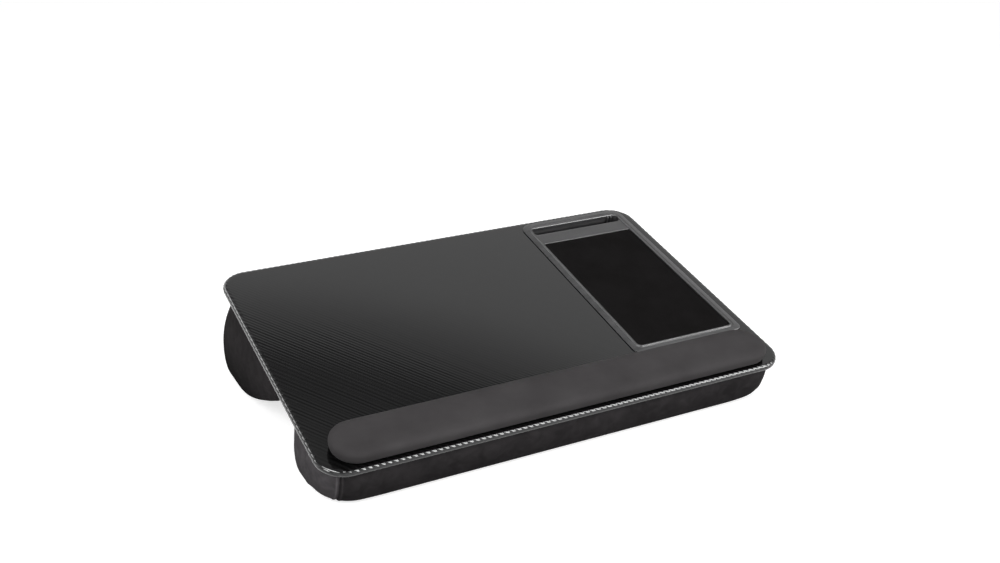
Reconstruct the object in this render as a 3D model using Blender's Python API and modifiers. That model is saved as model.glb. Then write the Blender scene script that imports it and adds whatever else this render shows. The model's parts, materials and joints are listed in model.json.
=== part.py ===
"""A lap desk: a sloping laptop board with a mouse pad, a phone slot and a wrist rest, on two stuffed bolsters.

The board is modelled flat in its own frame, with its origin at the middle of its top surface, X to the right,
Y to the rear and Z out of the top. An empty then tilts that frame and sets it down on the bolsters' flat feet,
so in the world +Z is up, +X runs along the front edge and the origin is under the middle of the whole object.
Lengths are in metres.
"""

import math

import bmesh
import bpy
from mathutils import Matrix, Vector

# Clearances
FIT_GAP = 0.0003
OVERRUN = 0.010

# Top board and its laminate
BOARD_LENGTH = 0.534
BOARD_DEPTH = 0.350
BOARD_CORNER = 0.030
BOARD_TILT = math.radians(13)
BOARD_HEIGHT = 0.0865
CORE_THICKNESS = 0.006
LAMINATE_WALL = 0.0004
LAMINATE_RETURN = 0.006
EDGE_ROUND = 0.0032
EDGE_SEGMENTS = 3
CORNER_SEGMENTS = 6

# Base board, the strips that bond it and the lining under it
BASE_THICKNESS = 0.003
BASE_CLEARANCE = 0.0012
TAPE_STRIP_WIDTH = 0.025
TAPE_STRIP_PITCH = 0.090
TAPE_STRIP_COUNT = 3
TAPE_EDGE_MARGIN = 0.030
LINING_THICKNESS = 0.0008

# Bezel round the mouse pad and phone slot
BEZEL_WIDTH = 0.1435
BEZEL_SIDE_MARGIN = 0.0115
BEZEL_REAR_MARGIN = 0.007
BEZEL_REST_SPACE = 0.0105
BEZEL_FRONT_CORNER = 0.008
BEZEL_REAR_CORNER = 0.015
BEZEL_LIP = 0.0006
BEZEL_SLOPE = 0.005
BEZEL_RIDGE_HEIGHT = 0.0025
BEZEL_RIDGE_WIDTH = 0.0045
BEZEL_RIDGE_ROUND = 0.0006
BEZEL_FLOOR = 0.0016
BEZEL_WALL = 0.0016
BAR_HEIGHT = 0.0013
BAR_WIDTH = 0.0215
SLOT_WIDTH = 0.0135
SLOT_LAND = 0.003
SLOT_CORNER = 0.006
SLOT_RIB_WIDTH = 0.0016
SLOT_RIB_PROUD = 0.0012
SLOT_RIB_PITCH = 0.0045
SLOT_RIB_INSET = 0.006
FLOOR_RIB_WIDTH = 0.0015
FLOOR_RIB_COUNT = 3
SNAP_WIDTH = 0.010
SNAP_THICKNESS = 0.0014
SNAP_BARB = 0.0010
SNAPS_PER_SIDE = 3

# Mouse pad, which fills the bezel between its front rim and its bar
PAD_CORNER = 0.005
PAD_TOP = 0.0004
PAD_CLOTH = 0.0006
PAD_BACKING = 0.0018

# Wrist rest
REST_END_MARGIN = 0.01625
REST_FRONT_MARGIN = 0.0035
REST_DEPTH = 0.053
REST_HEIGHT = 0.016
REST_COVER = 0.0008
REST_BASE = 0.0012
REST_TAPE = 0.0008
REST_TAPE_INSET = 0.007
REST_FOOT_INSET = 0.0022
REST_TURN_UNDER = 0.005
REST_END_SEGMENTS = 8

# Bolster covers, shared sizes
COVER_THICKNESS = 0.0010
COVER_INSET = 0.0045
COVER_HEM = 0.011
BOLSTER_SPACING = 0.0344
END_CAP_INSET = 0.0035
END_CROWN = 0.0025
END_CROWN_SHARE = 0.55
END_PANEL_WIDTH = 0.016
END_PANEL_STEPS = 4
SEAM_GAP = 0.0007
WRAP_RING_SHARES = (0, 0.3, 0.6, 1)
RISE_RING_SHARES = (0.5, 1)
WALL_STEPS = 8

# Front bolster
FRONT_WALL_PULL = 0.010
FRONT_WALL_BULGE = 0.006
FRONT_FOOT_SETBACK = 0.0149
FRONT_FOOT_DEPTH = 0.063
FRONT_TOE_PULL = 0.0135
FRONT_HEEL_PULL = 0.020
FRONT_INNER_RUN = 0.0211
FRONT_INNER_PULL = 0.035
FRONT_INNER_BULGE = 0.006
FRONT_PLAN_ROUND = 0.0379
FRONT_INNER_ROUND = 0.0095
FRONT_RISE = 0.0102
FRONT_RISE_RUN = 0.070

# Rear bolster
REAR_WALL_PULL = 0.025
REAR_WALL_BULGE = 0.008
REAR_FOOT_SETBACK = 0.0293
REAR_FOOT_DEPTH = 0.036
REAR_HEEL_PULL = 0.050
REAR_TOE_PULL = 0.0522
REAR_INNER_PULL = 0.0354
REAR_INNER_BULGE = 0.041
REAR_PLAN_ROUND_TOP = 0.0536
REAR_PLAN_ROUND_LOW = 0.0064
REAR_INNER_ROUND = 0.008
REAR_RISE = 0.0091
REAR_RISE_RUN = 0.040

# Staples
STAPLE_CROWN = 0.010
STAPLE_WIRE = 0.0005
STAPLE_WIDTH = 0.0009
STAPLE_LEG = 0.0042
STAPLE_INSET = 0.0055
STAPLE_SEAM_MARGIN = 0.0325
STAPLE_COUNT = 6

# Levels in the board's frame, from the top surface down
CORE_TOP = -(LAMINATE_WALL + FIT_GAP)
CORE_BOTTOM = CORE_TOP - CORE_THICKNESS
BOARD_BOTTOM = CORE_BOTTOM - FIT_GAP - LAMINATE_WALL
STAPLE_TOP = CORE_BOTTOM - FIT_GAP
HEM_TOP = STAPLE_TOP - STAPLE_WIRE - FIT_GAP
BASE_TOP = HEM_TOP - COVER_THICKNESS - FIT_GAP
BASE_BOTTOM = BASE_TOP - BASE_THICKNESS
FILL_TOP = BASE_BOTTOM - FIT_GAP

# Places in the board's frame that follow from the board's edges
COVER_EDGE = BOARD_DEPTH / 2 - COVER_INSET
END_CAP_X = BOARD_LENGTH / 2 - END_CAP_INSET
SEAM_X = END_CAP_X - END_PANEL_WIDTH
REST_LENGTH = BOARD_LENGTH - 2 * REST_END_MARGIN
REST_FRONT = -BOARD_DEPTH / 2 + REST_FRONT_MARGIN
BEZEL_RIGHT = BOARD_LENGTH / 2 - BEZEL_SIDE_MARGIN
BEZEL_LEFT = BEZEL_RIGHT - BEZEL_WIDTH
BEZEL_REAR = BOARD_DEPTH / 2 - BEZEL_REAR_MARGIN
BEZEL_FRONT = REST_FRONT + REST_DEPTH + BEZEL_REST_SPACE
FRONT_FOOT_FRONT = -BOARD_DEPTH / 2 + FRONT_FOOT_SETBACK
FRONT_FOOT_REAR = FRONT_FOOT_FRONT + FRONT_FOOT_DEPTH
FRONT_INNER_TOP = FRONT_FOOT_REAR + FRONT_INNER_RUN
REAR_FOOT_REAR = BOARD_DEPTH / 2 - REAR_FOOT_SETBACK
REAR_FOOT_FRONT = REAR_FOOT_REAR - REAR_FOOT_DEPTH
REAR_INNER_TOP = FRONT_INNER_TOP + BOLSTER_SPACING

# Places inside the bezel
RIM_WIDTH = BEZEL_SLOPE + BEZEL_RIDGE_WIDTH
SLOT_REAR = BEZEL_REAR - RIM_WIDTH - SLOT_LAND
SLOT_FRONT = SLOT_REAR - SLOT_WIDTH
PAD_FRONT = BEZEL_FRONT + RIM_WIDTH
PAD_REAR = SLOT_FRONT - BAR_WIDTH
SLOT_FLOOR = BASE_BOTTOM + FIT_GAP + BEZEL_WALL
PAN_TOP = PAD_TOP - PAD_CLOTH - FIT_GAP - PAD_BACKING - FIT_GAP
PAN_BOTTOM = PAN_TOP - BEZEL_FLOOR


def clear_scene():
    for item in list(bpy.data.objects):
        bpy.data.objects.remove(item)


def new_collection(name):
    collection = bpy.data.collections.new(name)
    bpy.context.scene.collection.children.link(collection)
    return collection


def material(name, colour, roughness):
    finish = bpy.data.materials.new(name)
    finish.use_nodes = True
    shader = finish.node_tree.nodes["Principled BSDF"]
    shader.inputs["Base Color"].default_value = (*colour, 1)
    shader.inputs["Roughness"].default_value = roughness
    return finish


def metal(name, colour, roughness):
    finish = material(name, colour, roughness)
    finish.node_tree.nodes["Principled BSDF"].inputs["Metallic"].default_value = 1
    return finish


class Desk:
    """Holds the collections, the tilted board frame and the finishes that the pieces are made with."""

    def __init__(self):
        self.parts = new_collection("lap_desk")
        self.cutters = new_collection("cutters")
        self.frame = bpy.data.objects.new("board_frame", None)
        self.frame.rotation_euler.x = BOARD_TILT
        self.frame.location.z = BOARD_HEIGHT
        self.parts.objects.link(self.frame)

    def piece(self, name, mesh, finish):
        item = bpy.data.objects.new(name, mesh)
        item.parent = self.frame
        item.data.materials.clear()
        item.data.materials.append(finish)
        self.parts.objects.link(item)
        return item

    def cutter(self, name, mesh):
        item = bpy.data.objects.new(name, mesh)
        item.parent = self.frame
        item.hide_render = True
        item.display_type = "WIRE"
        self.cutters.objects.link(item)
        return item

    def boolean(self, item, name, mesh, operation):
        step = item.modifiers.new(name, "BOOLEAN")
        step.operation = operation
        step.object = self.cutter(name, mesh)

    def cut(self, item, name, mesh):
        self.boolean(item, name, mesh, "DIFFERENCE")

    def join(self, item, name, mesh):
        self.boolean(item, name, mesh, "UNION")


def bevel(item, width, segments):
    step = item.modifiers.new("rounded_edges", "BEVEL")
    step.width = width
    step.segments = segments
    step.limit_method = "ANGLE"
    step.angle_limit = math.radians(60)


def wall(item, thickness):
    step = item.modifiers.new("wall", "SOLIDIFY")
    step.thickness = thickness
    step.offset = -1
    step.use_even_offset = True


def mesh_from(name, shape):
    mesh = bpy.data.meshes.new(name)
    shape.to_mesh(mesh)
    shape.free()
    return mesh


def corner_arc(centre, radius, start):
    """Points of a quarter turn that starts at the angle start."""
    turn = math.pi / 2
    angles = [start + turn * step / CORNER_SEGMENTS for step in range(CORNER_SEGMENTS + 1)]
    return [(centre[0] + radius * math.cos(a), centre[1] + radius * math.sin(a)) for a in angles]


def rounded_rectangle(left, right, front, rear, front_radius, rear_radius):
    quarter = math.pi / 2
    return (
        corner_arc((right - rear_radius, rear - rear_radius), rear_radius, 0)
        + corner_arc((left + rear_radius, rear - rear_radius), rear_radius, quarter)
        + corner_arc((left + front_radius, front + front_radius), front_radius, 2 * quarter)
        + corner_arc((right - front_radius, front + front_radius), front_radius, 3 * quarter)
    )


def rectangle(left, right, front, rear):
    return [(left, front), (right, front), (right, rear), (left, rear)]


def flat_mesh(name, outlines, bottom, top):
    """A flat outline, with any holes as further outlines, filled and extruded from one level to another."""
    curve = bpy.data.curves.new(name, "CURVE")
    curve.dimensions = "2D"
    curve.fill_mode = "BOTH"
    curve.extrude = (top - bottom) / 2
    for outline in outlines:
        spline = curve.splines.new("POLY")
        spline.points.add(len(outline) - 1)
        for point, (x, y) in zip(spline.points, outline):
            point.co = (x, y, 0, 1)
        spline.use_cyclic_u = True
    guide = bpy.data.objects.new(name, curve)
    bpy.context.scene.collection.objects.link(guide)
    bpy.context.view_layer.update()
    seen = guide.evaluated_get(bpy.context.evaluated_depsgraph_get())
    mesh = bpy.data.meshes.new_from_object(seen)
    bpy.data.objects.remove(guide)
    shape = bmesh.new()
    shape.from_mesh(mesh)
    bmesh.ops.remove_doubles(shape, verts=shape.verts, dist=FIT_GAP / 10)
    bmesh.ops.translate(shape, verts=shape.verts, vec=(0, 0, (top + bottom) / 2))
    bmesh.ops.recalc_face_normals(shape, faces=shape.faces)
    shape.to_mesh(mesh)
    shape.free()
    return mesh


def add_ring(shape, ring):
    return [shape.verts.new(point) for point in ring]


def skin(shape, rings, closed):
    """Faces between each ring and the next; closed rings also join their last point to their first."""
    for ring, following in zip(rings, rings[1:]):
        pairs = list(zip(ring, ring[1:], following, following[1:]))
        if closed:
            pairs.append((ring[-1], ring[0], following[-1], following[0]))
        for a, b, c, d in pairs:
            shape.faces.new((a, b, d, c))


def fan(shape, ring, apex, closed):
    pairs = list(zip(ring, ring[1:]))
    if closed:
        pairs.append((ring[-1], ring[0]))
    for a, b in pairs:
        shape.faces.new((a, b, apex))


def face_outwards(shape, centre):
    """Turns an open surface so that its faces look away from the given centre."""
    bmesh.ops.recalc_face_normals(shape, faces=shape.faces)
    shape.normal_update()
    facing = sum(f.normal.dot(f.calc_center_median() - Vector(centre)) * f.calc_area() for f in shape.faces)
    if facing < 0:
        bmesh.ops.reverse_faces(shape, faces=shape.faces)


# Top board


def board_outline(inset):
    half_length = BOARD_LENGTH / 2 - inset
    half_depth = BOARD_DEPTH / 2 - inset
    corner = BOARD_CORNER - inset
    return rounded_rectangle(-half_length, half_length, -half_depth, half_depth, corner, corner)


def bezel_outline(inset):
    return rounded_rectangle(
        BEZEL_LEFT + inset,
        BEZEL_RIGHT - inset,
        BEZEL_FRONT + inset,
        BEZEL_REAR - inset,
        max(BEZEL_FRONT_CORNER - inset, BEZEL_WALL),
        max(BEZEL_REAR_CORNER - inset, BEZEL_WALL),
    )


def window_mesh(name):
    return flat_mesh(name, [bezel_outline(BEZEL_SLOPE)], BOARD_BOTTOM - OVERRUN, OVERRUN)


def make_laminate(desk):
    finish = material("laminate_film", (0.030, 0.030, 0.032), 0.42)
    film = desk.piece("carbon_laminate", flat_mesh("film", [board_outline(0)], BOARD_BOTTOM, 0), finish)
    bevel(film, EDGE_ROUND, EDGE_SEGMENTS)
    inside = flat_mesh(
        "film_inside", [board_outline(LAMINATE_WALL)], BOARD_BOTTOM + LAMINATE_WALL, -LAMINATE_WALL
    )
    desk.cut(film, "film_inside", inside)
    bevel(desk.cutters.objects["film_inside"], EDGE_ROUND - LAMINATE_WALL, EDGE_SEGMENTS)
    middle = (BOARD_BOTTOM - LAMINATE_WALL) / 2
    under = flat_mesh("film_underside", [board_outline(LAMINATE_RETURN)], BOARD_BOTTOM - OVERRUN, middle)
    desk.cut(film, "film_underside", under)
    desk.cut(film, "film_window", window_mesh("film_window"))


def make_top_board(desk):
    finish = material("fibreboard", (0.30, 0.21, 0.13), 0.8)
    inset = LAMINATE_WALL + FIT_GAP
    core = desk.piece("top_board", flat_mesh("core", [board_outline(inset)], CORE_BOTTOM, CORE_TOP), finish)
    bevel(core, EDGE_ROUND - inset, EDGE_SEGMENTS)
    desk.cut(core, "core_window", window_mesh("core_window"))


# Base board


def trough_outline(clearance):
    """The phone trough's outer wall in plan, grown by a clearance."""
    grown = BEZEL_WALL + clearance
    corner = SLOT_CORNER + grown
    left = BEZEL_LEFT + RIM_WIDTH - grown
    right = BEZEL_RIGHT - RIM_WIDTH + grown
    return rounded_rectangle(left, right, SLOT_FRONT - grown, SLOT_REAR + grown, corner, corner)


def base_outline():
    inset = COVER_THICKNESS + BASE_CLEARANCE
    end = END_CAP_X - inset
    depth = COVER_EDGE - inset
    return rounded_rectangle(-end, end, -depth, depth, FRONT_PLAN_ROUND, REAR_PLAN_ROUND_TOP)


def staple_places():
    """Staples spread evenly between the two seams, with a margin to each."""
    last = SEAM_X - STAPLE_SEAM_MARGIN
    pitch = 2 * last / (STAPLE_COUNT - 1)
    return [-last + pitch * index for index in range(STAPLE_COUNT)]


def leg_holes_mesh(name, y, bottom, top):
    """One closed box for each staple leg, a clearance wider than the leg."""
    shape = bmesh.new()
    half_wire = STAPLE_WIRE / 2 + FIT_GAP
    half_width = STAPLE_WIDTH / 2 + FIT_GAP
    leg_offset = (STAPLE_CROWN - STAPLE_WIRE) / 2
    for x in staple_places():
        for leg_x in (x - leg_offset, x + leg_offset):
            add_box(shape, (leg_x - half_wire, y - half_width, bottom), (leg_x + half_wire, y + half_width, top))
    return mesh_from(name, shape)


def add_box(shape, low, high):
    size = Vector(high) - Vector(low)
    middle = (Vector(high) + Vector(low)) / 2
    matrix = Matrix.Translation(middle) @ Matrix.Diagonal((*size, 1))
    bmesh.ops.create_cube(shape, size=1, matrix=matrix)


def box_mesh(name, low, high):
    shape = bmesh.new()
    add_box(shape, low, high)
    return mesh_from(name, shape)


def make_base_board(desk):
    finish = material("base_fibreboard", (0.16, 0.11, 0.07), 0.85)
    board = desk.piece("base_board", flat_mesh("base", [base_outline()], BASE_BOTTOM, BASE_TOP), finish)
    trough = flat_mesh("base_trough", [trough_outline(FIT_GAP)], BASE_BOTTOM - OVERRUN, BASE_TOP + OVERRUN)
    desk.cut(board, "base_trough", trough)
    for side, name in ((-1, "base_front_holes"), (1, "base_rear_holes")):
        y = side * (COVER_EDGE - STAPLE_INSET)
        desk.cut(board, name, leg_holes_mesh(name, y, BASE_BOTTOM - OVERRUN, BASE_TOP + OVERRUN))


def make_board_tape(desk):
    finish = material("foam_tape", (0.70, 0.70, 0.66), 0.9)
    bottom = BASE_TOP + FIT_GAP
    top = CORE_BOTTOM - FIT_GAP
    left = -END_CAP_X + TAPE_EDGE_MARGIN
    right = BEZEL_LEFT - BEZEL_WALL
    first = -TAPE_STRIP_PITCH * (TAPE_STRIP_COUNT - 1) / 2
    half = TAPE_STRIP_WIDTH / 2
    for index in range(TAPE_STRIP_COUNT):
        y = first + TAPE_STRIP_PITCH * index
        strip = box_mesh("tape", (left, y - half, bottom), (right, y + half, top))
        desk.piece(f"board_tape_{index + 1}", strip, finish)


def make_lining(desk):
    finish = material("lining_cloth", (0.035, 0.035, 0.036), 0.95)
    top = BASE_BOTTOM - FIT_GAP
    low = (-SEAM_X, FRONT_INNER_TOP + FIT_GAP, top - LINING_THICKNESS)
    high = (SEAM_X, REAR_INNER_TOP - FIT_GAP, top)
    desk.piece("underside_lining", box_mesh("lining", low, high), finish)


# Bezel


def rim_mesh(name):
    """The rim as a stack of outlines: upright lip, long outer slope, then the rounded ridge."""
    steps = [
        (0, FIT_GAP),
        (0, FIT_GAP + BEZEL_LIP),
        (BEZEL_SLOPE, BEZEL_RIDGE_HEIGHT - BEZEL_RIDGE_ROUND / 2),
        (BEZEL_SLOPE + BEZEL_RIDGE_ROUND, BEZEL_RIDGE_HEIGHT),
    ]
    shape = bmesh.new()
    rings = [add_ring(shape, [(x, y, z) for x, y in bezel_outline(inset)]) for inset, z in steps]
    skin(shape, rings, closed=True)
    shape.faces.new(rings[0])
    shape.faces.new(rings[-1])
    bmesh.ops.recalc_face_normals(shape, faces=shape.faces)
    return mesh_from(name, shape)


def pad_outline(clearance):
    left = BEZEL_LEFT + RIM_WIDTH + clearance
    right = BEZEL_RIGHT - RIM_WIDTH - clearance
    corner = PAD_CORNER - clearance
    return rounded_rectangle(left, right, PAD_FRONT + clearance, PAD_REAR - clearance, corner, corner)


def slot_outline():
    left = BEZEL_LEFT + RIM_WIDTH
    right = BEZEL_RIGHT - RIM_WIDTH
    return rounded_rectangle(left, right, SLOT_FRONT, SLOT_REAR, SLOT_CORNER, SLOT_CORNER)


def bar_outline():
    """The lowered surface of the bar: from behind the pad to the slot's rear wall."""
    left = BEZEL_LEFT + RIM_WIDTH
    right = BEZEL_RIGHT - RIM_WIDTH
    front = PAD_REAR - PAD_CORNER
    return rounded_rectangle(left, right, front, SLOT_REAR, BEZEL_WALL, SLOT_CORNER)


def floor_ribs_mesh(name):
    """Ribs along Y under the pan, which stand on the base board."""
    shape = bmesh.new()
    left = BEZEL_LEFT + RIM_WIDTH
    right = BEZEL_RIGHT - RIM_WIDTH
    pitch = (right - left) / (FLOOR_RIB_COUNT + 1)
    half = FLOOR_RIB_WIDTH / 2
    for index in range(FLOOR_RIB_COUNT):
        x = left + pitch * (index + 1)
        low = (x - half, PAD_FRONT, BASE_TOP + FIT_GAP)
        high = (x + half, SLOT_FRONT - BEZEL_WALL / 2, PAN_BOTTOM + BEZEL_FLOOR / 2)
        add_box(shape, low, high)
    return mesh_from(name, shape)


def snap_profile(side):
    """A snap tab in section: a tongue down the window's edge with a barb that hooks under the core."""
    edge = BEZEL_SLOPE + FIT_GAP
    outer = BEZEL_LEFT + edge if side < 0 else BEZEL_RIGHT - edge
    barb_bottom = BASE_TOP + FIT_GAP
    barb_top = CORE_BOTTOM - FIT_GAP
    return [
        (outer, PAN_TOP),
        (outer, barb_top),
        (outer + side * SNAP_BARB, barb_top),
        (outer, barb_bottom),
        (outer - side * SNAP_THICKNESS, barb_bottom),
        (outer - side * SNAP_THICKNESS, PAN_TOP),
    ]


def snap_tabs_mesh(name):
    shape = bmesh.new()
    pitch = (PAD_REAR - PAD_FRONT) / SNAPS_PER_SIDE
    for side in (-1, 1):
        for index in range(SNAPS_PER_SIDE):
            y = PAD_FRONT + pitch * (index + 1 / 2)
            ends = (y - SNAP_WIDTH / 2, y + SNAP_WIDTH / 2)
            rings = [add_ring(shape, [(x, end, z) for x, z in snap_profile(side)]) for end in ends]
            skin(shape, rings, closed=True)
            shape.faces.new(rings[0])
            shape.faces.new(rings[1])
    bmesh.ops.recalc_face_normals(shape, faces=shape.faces)
    return mesh_from(name, shape)


def slot_ribs_mesh(name):
    """Two slim upright ribs on the slot's rear wall, near its right end."""
    shape = bmesh.new()
    last = BEZEL_RIGHT - RIM_WIDTH - SLOT_RIB_INSET
    for x in (last, last - SLOT_RIB_PITCH):
        low = (x - SLOT_RIB_WIDTH, SLOT_REAR - SLOT_RIB_PROUD, SLOT_FLOOR - BEZEL_WALL / 2)
        high = (x, SLOT_REAR + BEZEL_WALL / 2, BAR_HEIGHT)
        add_box(shape, low, high)
    return mesh_from(name, shape)


def make_bezel(desk):
    finish = material("bezel_plastic", (0.075, 0.075, 0.077), 0.55)
    bezel = desk.piece("tray_bezel", rim_mesh("rim"), finish)
    pan = flat_mesh("bezel_pan", [bezel_outline(BEZEL_SLOPE + FIT_GAP)], PAN_BOTTOM, BAR_HEIGHT)
    desk.join(bezel, "bezel_pan", pan)
    trough = flat_mesh("bezel_trough", [trough_outline(0)], SLOT_FLOOR - BEZEL_WALL, PAN_BOTTOM + BEZEL_FLOOR / 2)
    desk.join(bezel, "bezel_trough", trough)
    desk.join(bezel, "bezel_floor_ribs", floor_ribs_mesh("bezel_floor_ribs"))
    desk.join(bezel, "bezel_snaps", snap_tabs_mesh("bezel_snaps"))
    desk.cut(bezel, "pad_recess", flat_mesh("pad_recess", [pad_outline(0)], PAN_TOP, OVERRUN))
    desk.cut(bezel, "bar_recess", flat_mesh("bar_recess", [bar_outline()], BAR_HEIGHT, OVERRUN))
    desk.cut(bezel, "phone_slot", flat_mesh("phone_slot", [slot_outline()], SLOT_FLOOR, OVERRUN))
    desk.join(bezel, "slot_ribs", slot_ribs_mesh("slot_ribs"))


def make_mouse_pad(desk):
    cloth = material("pad_cloth", (0.015, 0.014, 0.014), 0.95)
    rubber = material("pad_rubber", (0.010, 0.010, 0.010), 0.9)
    cloth_bottom = PAD_TOP - PAD_CLOTH
    backing_top = cloth_bottom - FIT_GAP
    outline = pad_outline(FIT_GAP)
    desk.piece("mouse_pad_cloth", flat_mesh("pad_cloth", [outline], cloth_bottom, PAD_TOP), cloth)
    backing = flat_mesh("pad_backing", [outline], backing_top - PAD_BACKING, backing_top)
    desk.piece("mouse_pad_backing", backing, rubber)


# Wrist rest


def stadium(inset, level):
    """A long outline with round ends, inset from the wrist rest's widest outline."""
    radius = REST_DEPTH / 2 - inset
    centre_x = (REST_LENGTH - REST_DEPTH) / 2
    centre_y = REST_FRONT + REST_DEPTH / 2
    points = []
    for side, start in ((1, -math.pi / 2), (-1, math.pi / 2)):
        for step in range(REST_END_SEGMENTS + 1):
            angle = start + math.pi * step / REST_END_SEGMENTS
            points.append((side * centre_x + radius * math.cos(angle), centre_y + radius * math.sin(angle), level))
    return points


def rest_profile():
    """Insets and heights up the wrist rest's side, as shares of its half depth and height, hand-chosen."""
    side_share = [(0.00, 0.30), (0.00, 0.55), (0.05, 0.75), (0.16, 0.90), (0.36, 0.97), (0.70, 1.00)]
    half = REST_DEPTH / 2
    return [(half * inset, REST_HEIGHT * height) for inset, height in side_share]


def rest_levels():
    """Levels of the wrist rest's parts, from the laminate up."""
    tape_top = FIT_GAP + REST_TAPE
    turn_bottom = tape_top + FIT_GAP
    base_bottom = turn_bottom + REST_COVER + FIT_GAP
    base_top = base_bottom + REST_BASE
    return tape_top, turn_bottom, base_bottom, base_top


def dome_mesh(name, steps, closed_foot):
    shape = bmesh.new()
    rings = [add_ring(shape, stadium(inset, level)) for inset, level in steps]
    skin(shape, rings, closed=True)
    shape.faces.new(rings[-1])
    if closed_foot:
        shape.faces.new(rings[0])
        bmesh.ops.recalc_face_normals(shape, faces=shape.faces)
    else:
        face_outwards(shape, (0, REST_FRONT + REST_DEPTH / 2, REST_HEIGHT / 2))
    return mesh_from(name, shape)


def make_wrist_rest(desk):
    skin_finish = material("rest_skin", (0.070, 0.066, 0.067), 0.7)
    foam_finish = material("rest_foam", (0.62, 0.60, 0.52), 0.95)
    plate_finish = material("rest_plate", (0.05, 0.05, 0.05), 0.6)
    tape_finish = material("rest_tape", (0.04, 0.04, 0.04), 0.9)
    tape_top, turn_bottom, base_bottom, base_top = rest_levels()

    tape_outline = [point[:2] for point in stadium(REST_TAPE_INSET, 0)]
    desk.piece("wrist_rest_tape", flat_mesh("rest_tape", [tape_outline], FIT_GAP, tape_top), tape_finish)

    foot = [(REST_FOOT_INSET + REST_TURN_UNDER, turn_bottom), (REST_FOOT_INSET, turn_bottom)]
    cover = desk.piece("wrist_rest_cover", dome_mesh("rest_cover", foot + rest_profile(), False), skin_finish)
    wall(cover, REST_COVER)

    plate_inset = REST_FOOT_INSET + REST_COVER + FIT_GAP
    plate_outline = [point[:2] for point in stadium(plate_inset, 0)]
    desk.piece("wrist_rest_base", flat_mesh("rest_plate", [plate_outline], base_bottom, base_top), plate_finish)

    shrink = REST_COVER + FIT_GAP
    foam_bottom = base_top + FIT_GAP
    foam = [(plate_inset, foam_bottom)]
    foam += [(inset + shrink, level - shrink) for inset, level in rest_profile() if level - shrink > foam_bottom]
    desk.piece("wrist_rest_foam", dome_mesh("rest_foam", foam, True), foam_finish)


# Bolsters


def ground(y):
    """The level of the ground under a point of the board's frame."""
    return -(BOARD_HEIGHT + y * math.sin(BOARD_TILT)) / math.cos(BOARD_TILT)


def along_ground(point, distance):
    """A point moved along the ground, to the rear when the distance is positive."""
    return (point[0] + distance * math.cos(BOARD_TILT), point[1] - distance * math.sin(BOARD_TILT))


def bezier(start, start_pull, end_pull, end):
    points = []
    for step in range(WALL_STEPS + 1):
        t = step / WALL_STEPS
        shares = ((1 - t) ** 3, 3 * t * (1 - t) ** 2, 3 * t**2 * (1 - t), t**3)
        places = (start, start_pull, end_pull, end)
        points.append(tuple(sum(s * place[axis] for s, place in zip(shares, places)) for axis in (0, 1)))
    return points


def front_path():
    """The front bolster in section: hem, front wall, flat foot and inner side, as (y, z) points."""
    top = (-COVER_EDGE, HEM_TOP)
    toe = (FRONT_FOOT_FRONT, ground(FRONT_FOOT_FRONT))
    heel = (FRONT_FOOT_REAR, ground(FRONT_FOOT_REAR))
    inner = (FRONT_INNER_TOP, FILL_TOP - COVER_THICKNESS)
    wall_pull = (top[0] - FRONT_WALL_BULGE, top[1] - FRONT_WALL_PULL)
    inner_pull = (inner[0] + FRONT_INNER_BULGE, inner[1] - FRONT_INNER_PULL)
    front_wall = bezier(top, wall_pull, along_ground(toe, -FRONT_TOE_PULL), toe)
    inner_wall = bezier(heel, along_ground(heel, FRONT_HEEL_PULL), inner_pull, inner)
    return [(-COVER_EDGE + COVER_HEM, HEM_TOP)] + front_wall + inner_wall


def rear_path():
    """The rear bolster in section: hem, steep rear wall, flat foot and the long slope under the board."""
    top = (COVER_EDGE, HEM_TOP)
    heel = (REAR_FOOT_REAR, ground(REAR_FOOT_REAR))
    toe = (REAR_FOOT_FRONT, ground(REAR_FOOT_FRONT))
    inner = (REAR_INNER_TOP, FILL_TOP - COVER_THICKNESS)
    wall_pull = (top[0] + REAR_WALL_BULGE, top[1] - REAR_WALL_PULL)
    inner_pull = (inner[0] + REAR_INNER_BULGE, inner[1] - REAR_INNER_PULL)
    rear_wall = bezier(top, wall_pull, along_ground(heel, REAR_HEEL_PULL), heel)
    slope = bezier(toe, along_ground(toe, -REAR_TOE_PULL), inner_pull, inner)
    return [(COVER_EDGE - COVER_HEM, HEM_TOP)] + rear_wall + slope


def fillet(distance, radius, run):
    """How far a rounded end draws in at a distance from the end plane: the rest of a quarter ellipse."""
    if distance >= run:
        return 0.0
    return radius * (1 - math.sqrt(1 - ((run - distance) / run) ** 2))


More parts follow.
